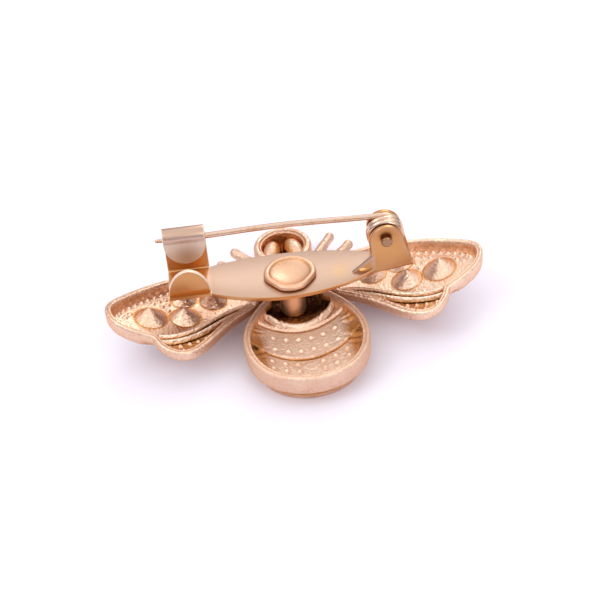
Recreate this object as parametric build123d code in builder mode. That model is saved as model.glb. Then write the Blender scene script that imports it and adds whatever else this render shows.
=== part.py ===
from build123d import *

import os
from math import asin, atan2, copysign, cos, degrees, hypot, radians, sin, sqrt

os.makedirs("parts", exist_ok=True)

# A bee brooch that lies on its front, with the riveted bar pin on its back upwards.
# Millimetres: +X along the wings, +Y towards the head, +Z up towards the pin.
# The origin is under the middle of the outline, on the surface that the brooch lies on.

# Outline of the casting
bee_length = 33.3
wing_span = 50.9
rim_width = 0.85
body_rim_z = 4.5

# Abdomen: a stepped cup
abdomen_length = 19.95
abdomen_half_width = 8.35
abdomen_wall = 1.0
abdomen_step_z = 1.7
abdomen_barrel_radius = 10.5
band_drop = 0.22
tail_slope = 2.2

# Thorax and head
thorax_half_width = 5.7
thorax_half_length = 5.2
thorax_front_z = 0.6
thorax_floor_z = 2.3
neck_overlap = 1.15
head_radius = 4.05
head_front_z = 0.35
head_floor_z = 2.3
head_rim_z = 4.2
eye_spread = 1.75
eye_cup_radius = 1.25
eye_cup_top_z = 3.9

# Antennae and front legs: short round rods
rod_radius = 0.67
rod_z = 3.7
rods = [
    # name, root x, root y, tip x, tip y, all from the head's centre
    ("antenna", 3.1, -4.9, 7.1, 0.9),
    ("leg", 5.2, -6.2, 9.4, -1.5),
]

# Wings: shallow trays, curved up towards their tips
wing_bend_radius = 85.0
wing_rim_z = 4.1
wing_tip_y = 0.65
wing_front_chord = 7.6
wing_back_chord = 9.5
fore_wall = 2.1
hind_wall = 1.45
recess_depth = 1.35
hind_recess_depth = 0.85
vein_width = 0.42
vein_height = 0.5
vein_spacing = 1.05

# Each outline point is a share of the half span and a share of the chord, front or back
leading_edge = [(0.154, 0.88), (0.316, 0.98), (0.473, 1.0), (0.631, 0.88), (0.77, 0.67), (0.907, 0.37), (1.0, 0.0)]
trailing_edge = [(0.972, -0.32), (0.86, -0.545), (0.78, -0.64)]
hind_lobe = [(0.78, -0.64), (0.76, -0.77), (0.7, -0.95), (0.63, -1.0), (0.55, -0.9)]
hind_return = [(0.44, -0.59), (0.33, -0.28), (0.217, -0.05)]
inset_points = 8
fore_inner_edge = [(0.78, -0.64), (0.63, -0.6), (0.42, -0.25), (0.222, 0.03)]
vein_line = [(0.75, -0.525), (0.638, -0.51), (0.532, -0.375), (0.426, -0.17), (0.323, -0.01)]

# Chatons: pointed cups, seen from the back as cones, with a cut stone in each
chatons = [
    # name, x as a share of the half span, y above the wing tip's line, cup radius
    ("tip", 0.772, -0.4, 2.15),
    ("middle", 0.594, -0.35, 2.0),
    ("upper", 0.588, 3.45, 1.75),
    ("root", 0.432, 2.85, 1.85),
]
cup_height_share = 0.87
cup_wall = 0.3
cup_tip_radius = 0.12

# Cut stones
facets = 8
stone_gap = 0.06
table_share = 0.56
crown_share = 0.26
pavilion_share = 0.8
girdle_height = 0.12
eye_stone_radius = 1.2

# Small set stones, and the dots that their seats raise on the back
pave_radius = 0.48
pave_sink = 0.06
dot_share = 0.85
dot_height_share = 0.7
pave_pitch = 1.62
pave_row_pitch = 2.0
wing_pave_radius = 0.38
wing_pave_pitch = 1.05
abdomen_rows = [
    # y from the band edge below it in row pitches, number of places, middle place left out
    ("band_2", 0.55, 6, False),
    ("band_2", 1.78, 6, False),
    ("band_3", 0.33, 7, True),
    ("band_3", 1.10, 7, True),
]
wing_rows = [
    # distance inside the leading edge, first and last share along it
    (1.4, 0.30, 0.96),
    (2.45, 0.26, 0.95),
    (3.5, 0.22, 0.92),
    (4.55, 0.22, 0.90),
]
hind_rows = [
    # distance behind the first vein, first and last share along it
    (2.1, 0.16, 0.48),
    (3.3, 0.16, 0.30),
]

# Post and bar
post_x = -0.5
post_behind_thorax = 4.05
post_radius = 1.6
tenon_radius = 1.1
rivet_head_radius = 3.5
rivet_head_height = 0.75
rivet_dish_radius = 2.75
rivet_dish_depth = 0.5
rivet_gap = 0.08
bar_length = 32.4
bar_front_half = 4.15
bar_back_half = 5.2
bar_thickness = 0.6
bar_top_z = 8.0
bar_turn = 4.5
bar_bend_radius = 100.0
tenon_clearance = 0.05

# Catch at the left end
catch_width = 5.6
catch_front_y = -2.4
catch_back_y = 3.9
catch_height = 7.4
fold_gap = 1.2
upper_tab_length = 5.0
lower_tab_height = 4.0
tab_trim = 0.3
tab_edge = 0.02
upper_tab_root = 0.6

# Hinge at the right end
ear_width = 5.2
ear_top_radius = 2.25
ear_front_y = -1.5
ear_gap = 2.85
pivot_height = 4.2
gusset_length = 3.2
gusset_height = 2.1
gusset_slot = 1.9
gusset_slot_height = 0.45
pivot_radius = 0.45
pivot_clearance = 0.05
pivot_head_radius = 0.75
pivot_head_height = 0.35

# Pin stem: sprung wire with a coil
wire_radius = 0.4
coil_wire_radius = 0.43
coil_radius = 2.1
coil_turns = 3
coil_overlap = 0.02
plain_from_coil = 3.2
thinning_length = 0.6
catch_wire_z = 14.3
tip_beyond_catch = 1.1
tip_radius = 0.28
taper_before_catch = 1.6

# Places that follow from the sizes above
half_span = wing_span / 2
tail_y = -bee_length / 2
head_y = bee_length / 2 - head_radius
thorax_y = head_y - head_radius + neck_overlap - thorax_half_length
abdomen_top_y = tail_y + abdomen_length
bend_z = wing_rim_z + wing_bend_radius
floor_r = wing_bend_radius + recess_depth
hind_floor_r = wing_bend_radius + hind_recess_depth
fore_front_r = wing_bend_radius + fore_wall
hind_front_r = wing_bend_radius + hind_wall
post_y = thorax_y - post_behind_thorax
band_1_y = post_y - 3.5
band_2_y = band_1_y - 0.7
band_3_y = band_2_y - 5.1
barrel_z = thorax_floor_z + abdomen_barrel_radius
rim_clear = 3.0
deep = 2 * bee_length


def wing_point(share):
    """A wing outline point in millimetres from its shares."""
    across, along = share
    chord = wing_front_chord if along > 0 else wing_back_chord
    return (across * half_span, wing_tip_y + along * chord)


def wing_points(shares):
    return [wing_point(share) for share in shares]


def inset_run(points, inset):
    """Points beside a spline through the given points, drawn in to its right."""
    with BuildLine() as edge:
        Spline(*points)
    beside = []
    for i in range(inset_points):
        share = i / (inset_points - 1)
        spot = edge.line @ share
        way = edge.line % share
        beside.append((spot.X + way.Y * inset, spot.Y - way.X * inset))
    return beside


def wing_face(*runs, inset=0.0):
    """A face bounded by a spline through each run of points, closed inside the thorax's wall."""
    root_x = thorax_half_width - 0.7 * rim_width + inset
    shown = [wing_points(run) for run in runs]
    if inset:
        shown = [inset_run(points, inset) for points in shown]
    with BuildSketch() as outline:
        with BuildLine():
            for points in shown:
                Spline(*points)
            for before, after in zip(shown, shown[1:]):
                if before[-1] != after[0]:
                    Line(before[-1], after[0])
            Polyline(shown[-1][-1], (root_x, thorax_y - 2.0), (root_x, thorax_y + 1.0), shown[0][0])
        make_face()
    return outline.sketch


def bend_slab(inner, outer):
    """The space between two cylinders about the axis that the wings curve round."""
    with BuildPart() as slab:
        with Locations(Location((0, 0, bend_z), (90, 0, 0))):
            Cylinder(outer, deep)
            Cylinder(inner, deep, mode=Mode.SUBTRACT)
    return slab.part


def standing(face, inner, outer, height=14.0):
    """A wing face carried up Z, kept between two radii of the wings' curve."""
    with BuildPart() as block:
        add(face)
        extrude(amount=height)
        add(bend_slab(inner, outer), mode=Mode.INTERSECT)
    return block.part


def on_wing(x, y, radius):
    """A place on a curved wing surface of that radius, its Z square to the surface."""
    lean = degrees(asin(x / radius))
    return Location((x, y, bend_z - sqrt(radius**2 - x**2)), (0, -lean, 0))


def egg_face(inset, z, half_width=abdomen_half_width, low=tail_y, high=abdomen_top_y):
    """The abdomen's outline at a height, drawn in by an inset."""
    w = half_width - inset
    y0 = low + inset
    y1 = high - inset
    h = y1 - y0
    side = [(0.0, 0.0), (0.70, 0.115), (1.0, 0.45), (0.655, 0.815)]
    right = [(w * a, y0 + h * b) for a, b in side]
    left = [(-x, y) for x, y in reversed(right[1:])]
    with BuildSketch(Plane.XY.offset(z)) as outline:
        with BuildLine():
            Spline(*right, (0.0, y1), *left, periodic=True)
        make_face()
    return outline.sketch


def oval_face(y, half_x, half_y, z):
    with BuildSketch(Plane.XY.offset(z)) as outline:
        with Locations((0, y)):
            Ellipse(half_x, half_y)
    return outline.sketch


def frustum(low, high):
    """A straight-sided solid between two faces at different heights."""
    with BuildPart() as step:
        add(low)
        add(high)
        loft(ruled=True)
    return step.part


def stack(faces):
    """Straight-sided solids from each face to the next, joined."""
    with BuildPart() as solid:
        for low, high in zip(faces, faces[1:]):
            add(frustum(low, high))
    return solid.part


def both_sides(part):
    """A part and its mirror image on the other wing."""
    return [part, mirror(part, about=Plane.YZ)]


# Wings: the deep fore wing and the shallower hind lobe, cast as one tray
fore_edge = leading_edge + trailing_edge
wing_plan = wing_face(fore_edge, hind_lobe + hind_return)
fore_plan = wing_face(fore_edge, fore_inner_edge)
recess_plan = wing_face(fore_edge, hind_lobe + hind_return, inset=rim_width)
wing_tray = [
    standing(fore_plan, wing_bend_radius, fore_front_r),
    standing(wing_plan, wing_bend_radius, hind_front_r),
]
wing_recess = standing(recess_plan, wing_bend_radius - rim_clear, hind_floor_r)
with BuildPart() as fore_recess:
    add(standing(recess_plan, wing_bend_radius - rim_clear, floor_r))
    add(standing(fore_plan, wing_bend_radius - rim_clear, floor_r), mode=Mode.INTERSECT)

# Two veins run beside each other along the edge of the fore wing
veins = []
for shift in (0.0, -vein_spacing):
    with BuildSketch() as vein_plan:
        with BuildLine():
            line = Spline(*[(x, y + shift) for x, y in wing_points(vein_line)])
        trace(line, line_width=vein_width)
    veins.append(standing(vein_plan.sketch, hind_floor_r - vein_height, floor_r + rim_width))

# Chaton places on the right wing
cups = []
for name, share, rise, cup_radius in chatons:
    cups.append((name, share * half_span, wing_tip_y + rise, cup_radius))


def places_beside(points, inset, first, last):
    """Places at the wing stones' pitch along a spline, moved off it to its right."""
    with BuildLine() as edge:
        path = Spline(*points)
    steps = int((last - first) * path.length / wing_pave_pitch)
    places = []
    for i in range(steps + 1):
        share = first + (last - first) * i / steps
        spot = edge.line @ share
        way = edge.line % share
        places.append((spot.X + way.Y * inset, spot.Y - way.X * inset))
    return places


# Places of the small stones: rows inside the leading edge, clear of the cups, and behind the veins
clear = wing_pave_radius + cup_wall / 2
wing_spots = []
for inset, first, last in wing_rows:
    for x, y in places_beside(wing_points(leading_edge), inset, first, last):
        if all(hypot(x - cup[1], y - cup[2]) > cup[3] + clear for cup in cups):
            wing_spots.append((x, y))
hind_spots = []
for behind, first, last in hind_rows:
    hind_spots += places_beside(wing_points(vein_line), -behind, first, last)

# Body: abdomen cup with a narrower stepped front, thorax and head
abdomen_inset = [
    # height, inset from the outline
    (body_rim_z, 0.0),
    (abdomen_step_z, 0.15),
]
abdomen_front_inset = [
    (abdomen_step_z + 0.3, 0.9),
    (0.5, 1.25),
    (0.0, 2.6),
]
abdomen = [
    stack([egg_face(inset, z) for z, inset in abdomen_inset]),
    stack([egg_face(inset, z) for z, inset in abdomen_front_inset]),
]
thorax = stack([
    oval_face(thorax_y, thorax_half_width, thorax_half_length, body_rim_z),
    oval_face(thorax_y, thorax_half_width - 0.2, thorax_half_length - 0.2, thorax_front_z + 1.0),
    oval_face(thorax_y, thorax_half_width - 1.6, thorax_half_length - 1.6, thorax_front_z),
])
head = stack([
    oval_face(head_y, head_radius, head_radius, head_rim_z),
    oval_face(head_y, head_radius - 0.1, head_radius - 0.1, head_front_z + 1.0),
    oval_face(head_y, head_radius - 1.3, head_radius - 1.3, head_front_z),
])

# The hollow of abdomen and thorax: sloping side walls over a barrel floor that steps down
floor_line = [
    (thorax_y + thorax_half_length, thorax_floor_z + 0.5),
    (band_1_y, thorax_floor_z),
    (band_2_y, thorax_floor_z - 0.65),
    (band_3_y, thorax_floor_z - 0.65 - band_drop),
    (band_3_y - 0.05, thorax_floor_z - 0.65 - 2 * band_drop),
    (tail_y + tail_slope + 1.0, thorax_floor_z - 0.6 - 2 * band_drop),
    (tail_y + tail_slope, thorax_floor_z - 0.2),
    (tail_y, body_rim_z),
]
with BuildPart() as above_floor:
    with BuildSketch(Plane.YZ):
        with BuildLine():
            Polyline(*floor_line, (tail_y, barrel_z), (floor_line[0][0], barrel_z), floor_line[0])
        make_face()
    revolve(axis=Axis((0, 0, barrel_z), (0, 1, 0)))
with BuildPart() as body_hollow:
    add(egg_face(abdomen_wall, 0.0))
    extrude(amount=body_rim_z + rim_clear)
    add(above_floor.part, mode=Mode.INTERSECT)
with BuildPart() as thorax_hollow:
    with BuildSketch(Plane.XY.offset(thorax_floor_z)):
        with Locations((0, thorax_y)):
            Ellipse(thorax_half_width - rim_width, thorax_half_length - rim_width)
    extrude(amount=body_rim_z)
with BuildPart() as head_hollow:
    with Locations((0, head_y, head_floor_z)):
        Cylinder(head_radius - rim_width, body_rim_z, align=(Align.CENTER, Align.CENTER, Align.MIN))

# Backs of the two eye cups, rounded, inside the head's ring
with BuildPart() as eye_cups:
    with Locations(*[(x, head_y, head_front_z + 1.0) for x in (-eye_spread, eye_spread)]):
        Cylinder(
            eye_cup_radius,
            eye_cup_top_z - eye_cup_radius - head_front_z - 1.0,
            align=(Align.CENTER, Align.CENTER, Align.MIN),
        )
    with Locations(*[(x, head_y, eye_cup_top_z - eye_cup_radius) for x in (-eye_spread, eye_spread)]):
        Sphere(eye_cup_radius)


def rod(root_x, root_y, tip_x, tip_y):
    """A round rod from the body to a rounded tip, on the right side."""
    root = Vector(root_x, head_y + root_y, rod_z)
    tip = Vector(tip_x, head_y + tip_y, rod_z)
    with BuildPart() as solid:
        with BuildSketch(Plane(origin=root, z_dir=tip - root)):
            Circle(rod_radius)
        extrude(amount=(tip - root).length - rod_radius)
        with Locations(tip - (tip - root).normalized() * rod_radius):
            Sphere(rod_radius)
    return solid.part


def cup_back(x, y, radius):
    """The pointed back of a chaton's cup, standing on the wing's floor."""
    sunk = recess_depth / 2
    height = radius * cup_height_share
    with BuildPart() as solid:
        with Locations(on_wing(x, y, floor_r + sunk)):
            Cylinder(radius, sunk, align=(Align.CENTER, Align.CENTER, Align.MIN))
        with Locations(on_wing(x, y, floor_r)):
            Cone(radius, cup_tip_radius, height, align=(Align.CENTER, Align.CENTER, Align.MIN))
    return solid.part


def abdomen_spots():
    """Where the abdomen's small stones sit, row by row on each band."""
    spots = []
    start = {"band_2": band_2_y, "band_3": band_3_y}
    for band, pitches, places, gap in abdomen_rows:
        for i in range(places):
            across = (i - (places - 1) / 2) * pave_pitch
            if not (gap and abs(across) < pave_pitch / 2):
                spots.append((across, start[band] - pitches * pave_row_pitch))
    return spots


def floor_z(x, y):
    """Height of the abdomen's barrel floor."""
    for (y1, z1), (y2, z2) in zip(floor_line, floor_line[1:]):
        if y2 <= y <= y1:
            middle = z1 + (z2 - z1) * (y1 - y) / (y1 - y2)
            return barrel_z - sqrt((barrel_z - middle) ** 2 - x**2)
    return body_rim_z


def dot(radius, place):
    """The low round dot that the seat of a small stone of that radius raises on the back."""
    height = radius * dot_height_share
    with BuildPart() as solid:
        with Locations(place * Location((0, 0, -height))):
            Cone(
                radius * dot_share,
                radius * dot_share / 2,
                2 * height,
                align=(Align.CENTER, Align.CENTER, Align.MIN),
            )
    return solid.part


# Front faces are seen from below, so their places point down
down = Location((0, 0, 0), (180, 0, 0))


def front_place(x, y, radius):
    return on_wing(x, y, radius) * down


def stone(radius, place):
    """A cut stone whose girdle is at its place: table, crown, girdle and pavilion, eight-sided."""
    crown = radius * crown_share
    depth = radius * pavilion_share
    tiers = [
        (crown, radius * table_share),
        (crown * 0.45, radius * 0.86),
        (0.0, radius),
        (-girdle_height, radius),
        (-girdle_height - depth * 0.5, radius * 0.55),
        (-girdle_height - depth, radius * 0.05),
    ]
    with BuildPart() as solid:
        for height, size in tiers:
            with BuildSketch(Plane.XY.offset(height)):
                RegularPolygon(size, facets)
        loft(ruled=True)
    return solid.part.moved(place)


def seat(radius, place):
    """The pocket that a cut stone sits in, open to the front."""
    depth = radius * pavilion_share
    with BuildPart() as solid:
        with Locations(Location((0, 0, -girdle_height - stone_gap))):
            Cylinder(
                radius + stone_gap,
                radius + girdle_height + stone_gap,
                align=(Align.CENTER, Align.CENTER, Align.MIN),
            )
            Cone(
                radius * 0.06 + stone_gap,
                radius + stone_gap,
                depth + stone_gap / 2,
                align=(Align.CENTER, Align.CENTER, Align.MAX),
            )
    return solid.part.moved(place)


# Stone sizes and places, on the right wing and along the body
chaton_stones = []
for name, x, y, cup_radius in cups:
    size = cup_radius - cup_wall
    chaton_stones.append((name, size, front_place(x, y, fore_front_r)))
wing_pave = [front_place(x, y, fore_front_r - pave_sink) for x, y in wing_spots]
hind_pave = [front_place(x, y, hind_front_r - pave_sink) for x, y in hind_spots]
crown_of_pave = pave_radius * crown_share
body_pave = [Location((x, y, crown_of_pave + pave_sink)) * down for x, y in abdomen_spots()]
eye_places = [
    Location((x, head_y, eye_stone_radius * crown_share)) * down for x in (-eye_spread, eye_spread)
]

# Each hollow leaves standing what rises from its floor: cup backs, veins and dots
with BuildPart() as wing_hollow:
    add([wing_recess, fore_recess.part])
    add(veins, mode=Mode.SUBTRACT)
    add([cup_back(x, y, cup_radius) for name, x, y, cup_radius in cups], mode=Mode.SUBTRACT)
    add([dot(wing_pave_radius, on_wing(x, y, floor_r)) for x, y in wing_spots], mode=Mode.SUBTRACT)
    add([dot(wing_pave_radius, on_wing(x, y, hind_floor_r)) for x, y in hind_spots], mode=Mode.SUBTRACT)
with BuildPart() as barrel_hollow:
    add(body_hollow.part)
    add([dot(pave_radius, Location((x, y, floor_z(x, y)))) for x, y in abdomen_spots()], mode=Mode.SUBTRACT)
with BuildPart() as right_wing:
    add(wing_tray)
    add(wing_hollow.part, mode=Mode.SUBTRACT)
    add([seat(size, place) for name, size, place in chaton_stones], mode=Mode.SUBTRACT)
    add([seat(wing_pave_radius, place) for place in wing_pave + hind_pave], mode=Mode.SUBTRACT)
with BuildPart() as body:
    add(abdomen + [thorax, head], clean=False)
    add([side for name, *ends in rods for side in both_sides(rod(*ends))], clean=False)
    add([barrel_hollow.part, thorax_hollow.part, head_hollow.part], clean=False, mode=Mode.SUBTRACT)
    add(eye_cups.part, clean=False)
    add([seat(pave_radius, place) for place in body_pave], clean=False, mode=Mode.SUBTRACT)
    add([seat(eye_stone_radius, place) for place in eye_places], clean=False, mode=Mode.SUBTRACT)

# Post, tenon through the bar, and the dished head that the tenon is peened into
shoulder_z = bar_top_z - bar_thickness - rivet_gap
rivet_z = bar_top_z + 2 * rivet_gap
bottom = (Align.CENTER, Align.CENTER, Align.MIN)
with BuildPart() as post:
    with Locations((post_x, post_y, thorax_floor_z - 0.5)):
        Cylinder(post_radius, shoulder_z - thorax_floor_z + 0.5, align=bottom)
    with Locations((post_x, post_y, shoulder_z)):
        Cylinder(tenon_radius, rivet_z - shoulder_z, align=bottom)
    with Locations((post_x, post_y, rivet_z)):
        Cylinder(rivet_head_radius, rivet_head_height, align=bottom)
    chamfer(post.edges().filter_by(GeomType.CIRCLE).group_by(Axis.Z)[-1], rivet_head_height * 0.4)
    with Locations((post_x, post_y, rivet_z + rivet_head_height)):
        Cone(
            rivet_dish_radius * 0.72,
            rivet_dish_radius,
            rivet_dish_depth,
            align=(Align.CENTER, Align.CENTER, Align.MAX),
            mode=Mode.SUBTRACT,
        )

with BuildPart() as casting:
    add(body.part, clean=False)
    add(both_sides(right_wing.part), clean=False)
    add(post.part, clean=False)
casting.part.label = "casting"
export_step(casting.part, "parts/casting.step")

# Cut stones: one in each chaton, two eyes, and the small ones of each field
for name, size, place in chaton_stones:
    right_stone = stone(size, place)
    left_stone = mirror(right_stone, about=Plane.YZ)
    for side, piece in (("right", right_stone), ("left", left_stone)):
        piece.label = f"{side}_{name}_stone"
        export_step(piece, f"parts/{side}_{name}_stone.step")
for side, place in zip(("left", "right"), eye_places):
    piece = stone(eye_stone_radius, place)
    piece.label = f"{side}_eye_stone"
    export_step(piece, f"parts/{side}_eye_stone.step")
right_field = [stone(wing_pave_radius, place) for place in wing_pave + hind_pave]
fields = {
    "right_wing_stones": right_field,
    "left_wing_stones": [mirror(piece, about=Plane.YZ) for piece in right_field],
    "abdomen_stones": [stone(pave_radius, place) for place in body_pave],
}
for name, pieces in fields.items():
    field = Compound(label=name, children=pieces)
    export_step(field, f"parts/{name}.step")

# Bar: a leaf-shaped plate, its ends bent up a little, with the catch and the hinge bent from it
bar_left = post_x - bar_length / 2
bar_right = post_x + bar_length / 2
leaf_left = bar_left + catch_width
leaf_right = bar_right - ear_width
catch_front = post_y + catch_front_y
catch_back = post_y + catch_back_y
ear_front = post_y + ear_front_y
ear_back = ear_front + ear_gap + 2 * bar_thickness
bend_centre_z = bar_top_z + bar_bend_radius


def bar_surface(x):
    """Height of the bar's upper face, and its slope in degrees, at an x."""
    reach = x - post_x
    height = bend_centre_z - sqrt(bar_bend_radius**2 - reach**2)
    return height, degrees(asin(reach / bar_bend_radius))


# The bar stands a little turned about its post, and all that it carries with it
turned = Location((post_x, post_y, 0), (0, 0, -bar_turn)) * Location((-post_x, -post_y, 0))

catch_z, catch_slope = bar_surface(leaf_left)
with BuildPart() as leaf:
    with BuildSketch():
        with BuildLine():
            ThreePointArc((leaf_left, catch_front), (post_x, post_y - bar_front_half), (leaf_right, ear_front))
            Polyline((leaf_right, ear_front), (bar_right, ear_front), (bar_right, ear_back), (leaf_right, ear_back))
            ThreePointArc((leaf_right, ear_back), (post_x, post_y + bar_back_half), (leaf_left, catch_back - 0.5))
            Line((leaf_left, catch_back - 0.5), (leaf_left, catch_front))
        make_face()
    extrude(amount=2 * bar_top_z)
    with BuildSketch(Plane.XZ.offset(-deep / 2)):
        with Locations((post_x, bend_centre_z)):
            Circle(bar_bend_radius + bar_thickness)
            Circle(bar_bend_radius, mode=Mode.SUBTRACT)
    extrude(amount=deep, mode=Mode.INTERSECT)

# Catch: floor, far wall, fold over the wire and the rounded upper tab; a rounded tab in front
fold_outer = fold_gap / 2 + bar_thickness
fold_y = catch_back - fold_outer
fold_z = catch_z + catch_height - fold_outer
tab_y = catch_back - 2 * fold_outer
upper_tab_end = fold_z - upper_tab_length + fold_outer - tab_trim
lower_tab_end = catch_z + lower_tab_height + tab_trim


def tab_corners(y, root_z, reach):
    """What is cut from a tab outside half an ellipse that reaches that far, up or down, from its root."""
    side = copysign(1, reach)
    half_width = catch_width / 2 + tab_edge
    with BuildPart() as corners:
        with BuildSketch(Plane.XZ.offset(-(y + bar_thickness + rivet_gap))):
            with Locations((bar_left + catch_width / 2, root_z + (reach + side * 2 * tab_trim) / 2)):
                Rectangle(catch_width + 1, abs(reach) + 2 * tab_trim)
            with Locations((bar_left + catch_width / 2, root_z)):
                Ellipse(half_width, abs(reach), mode=Mode.SUBTRACT)
        extrude(amount=bar_thickness + 2 * rivet_gap)
    return corners.part


with BuildPart() as catch:
    with BuildSketch(Plane.YZ.offset(bar_left)):
        with BuildLine():
            Polyline(
                (tab_y, upper_tab_end),
                (tab_y, fold_z),
            )
            ThreePointArc((tab_y, fold_z), (fold_y, fold_z + fold_outer), (catch_back, fold_z))
            Polyline(
                (catch_back, fold_z),
                (catch_back, catch_z - bar_thickness),
                (catch_front, catch_z - bar_thickness),
                (catch_front, lower_tab_end),
                (catch_front + bar_thickness, lower_tab_end),
                (catch_front + bar_thickness, catch_z),
                (catch_back - bar_thickness, catch_z),
                (catch_back - bar_thickness, fold_z),
            )
            ThreePointArc(
                (catch_back - bar_thickness, fold_z),
                (fold_y, fold_z + fold_gap / 2),
                (tab_y + bar_thickness, fold_z),
            )
            Polyline(
                (tab_y + bar_thickness, fold_z),
                (tab_y + bar_thickness, upper_tab_end),
                (tab_y, upper_tab_end),
            )
        make_face()
    extrude(amount=catch_width)
    add(
        [
            tab_corners(catch_front, catch_z, lower_tab_height),
            tab_corners(tab_y, fold_z - upper_tab_root, upper_tab_root + fold_outer - upper_tab_length),
        ],
        mode=Mode.SUBTRACT,
    )

# Hinge: two ears square to the bar's raised end, and a small gusset at the front one's root
ear_x = bar_right - ear_width / 2
ear_z, ear_slope = bar_surface(ear_x)
lean = radians(ear_slope)
pivot_x = ear_x - sin(lean) * pivot_height
pivot_z = ear_z + cos(lean) * pivot_height
pivot_y = ear_front + bar_thickness + ear_gap / 2


def ear(y):
    """One ear: as wide as the bar's end at its root, round at the top, with the pivot's hole."""
    plane = Plane(origin=(ear_x, y + bar_thickness, ear_z), x_dir=(cos(lean), 0, sin(lean)), z_dir=(0, -1, 0))
    with BuildPart() as solid:
        with BuildSketch(plane):
            with BuildLine():
                Polyline(
                    (-ear_top_radius, pivot_height),
                    (-ear_width / 2, -bar_thickness / 2),
                    (ear_width / 2, -bar_thickness / 2),
                    (ear_top_radius, pivot_height),
                )
                ThreePointArc(
                    (ear_top_radius, pivot_height),
                    (0, pivot_height + ear_top_radius),
                    (-ear_top_radius, pivot_height),
                )
            make_face()
            with Locations((0, pivot_height)):
                Circle(pivot_radius + pivot_clearance, mode=Mode.SUBTRACT)
        extrude(amount=bar_thickness)
    return solid.part


gusset_left = leaf_right - gusset_length
with BuildPart() as gusset:
    with BuildSketch(Plane.XZ.offset(-ear_front - bar_thickness)):
        with BuildLine():
            Polyline(
                (gusset_left, bar_surface(gusset_left)[0] - bar_thickness / 2),
                (leaf_right + 0.4, bar_surface(leaf_right)[0] - bar_thickness / 2),
                (leaf_right + 0.4, bar_surface(leaf_right)[0] + gusset_height),
                (leaf_right, bar_surface(leaf_right)[0] + gusset_height),
                close=True,
            )
        make_face()
        with Locations((leaf_right - gusset_slot * 0.6, bar_surface(leaf_right)[0] + gusset_slot_height / 2)):
            Ellipse(gusset_slot / 2, gusset_slot_height / 2, mode=Mode.SUBTRACT)
    extrude(amount=bar_thickness)

with BuildPart() as pin_back:
    add([leaf.part, catch.part, ear(ear_front), ear(ear_back - bar_thickness), gusset.part])
    with Locations((post_x, post_y, bar_top_z)):
        Cylinder(tenon_radius + tenon_clearance, 4 * bar_thickness, mode=Mode.SUBTRACT)
back_piece = pin_back.part.moved(turned)
back_piece.label = "pin_back"
export_step(back_piece, "parts/pin_back.step")

# Hinge rivet: a short pin through both ears, with a low round head at each end
with BuildPart() as hinge_rivet:
    with Locations(Location((pivot_x, pivot_y, pivot_z), (90, 0, 0))):
        Cylinder(pivot_radius, ear_back - ear_front + 2 * rivet_gap)
    for y in (ear_front - rivet_gap - pivot_head_height / 2, ear_back + rivet_gap + pivot_head_height / 2):
        with Locations(Location((pivot_x, y, pivot_z), (90, 0, 0))):
            Cylinder(pivot_head_radius, pivot_head_height)
    fillet(hinge_rivet.edges().group_by(Axis.Y)[0], pivot_head_height * 0.6)
    fillet(hinge_rivet.edges().group_by(Axis.Y)[-1], pivot_head_height * 0.6)
rivet_piece = hinge_rivet.part.moved(turned)
rivet_piece.label = "hinge_rivet"
export_step(rivet_piece, "parts/hinge_rivet.step")

# Pin stem: rings of wire side by side round the rivet, and a straight wire that leaves the top
# of the rear ring, thins a little, and passes under the catch's fold to a tapered tip
ring_pitch = 2 * coil_wire_radius - coil_overlap
rear_ring_y = pivot_y + (coil_turns - 1) / 2 * ring_pitch
catch_x = bar_left + catch_width / 2
drop = atan2(pivot_z - catch_wire_z, pivot_x - catch_x)
climb = drop + asin(coil_radius / hypot(pivot_x - catch_x, pivot_z - catch_wire_z))
start = Vector(pivot_x - coil_radius * sin(climb), rear_ring_y, pivot_z + coil_radius * cos(climb))
target = Vector(catch_x, fold_y, catch_wire_z)
way = (target - start).normalized()
whole_length = (bar_left - tip_beyond_catch - start.X) / way.X
stem_sections = [
    # distance along the wire, its radius there
    (0.0, coil_wire_radius),
    (plain_from_coil, coil_wire_radius),
    (plain_from_coil + thinning_length, wire_radius),
    ((bar_left + catch_width + taper_before_catch - start.X) / way.X, wire_radius),
    (whole_length - tip_radius, tip_radius),
]
with BuildPart() as pin_stem:
    for turn in range(coil_turns):
        with Locations(Location((pivot_x, rear_ring_y - turn * ring_pitch, pivot_z), (90, 0, 0))):
            Torus(coil_radius, coil_wire_radius)
    for (near, near_radius), (far, far_radius) in zip(stem_sections, stem_sections[1:]):
        with BuildSketch(Plane(origin=start + way * near, z_dir=way)):
            Circle(near_radius)
        with BuildSketch(Plane(origin=start + way * far, z_dir=way)):
            Circle(far_radius)
        loft()
    with Locations(start + way * (whole_length - tip_radius)):
        Sphere(tip_radius)
stem_piece = pin_stem.part.moved(turned)
stem_piece.label = "pin_stem"
export_step(stem_piece, "parts/pin_stem.step")
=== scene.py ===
import math

import bmesh
import bpy
import numpy as np
from mathutils import Matrix, Vector


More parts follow.
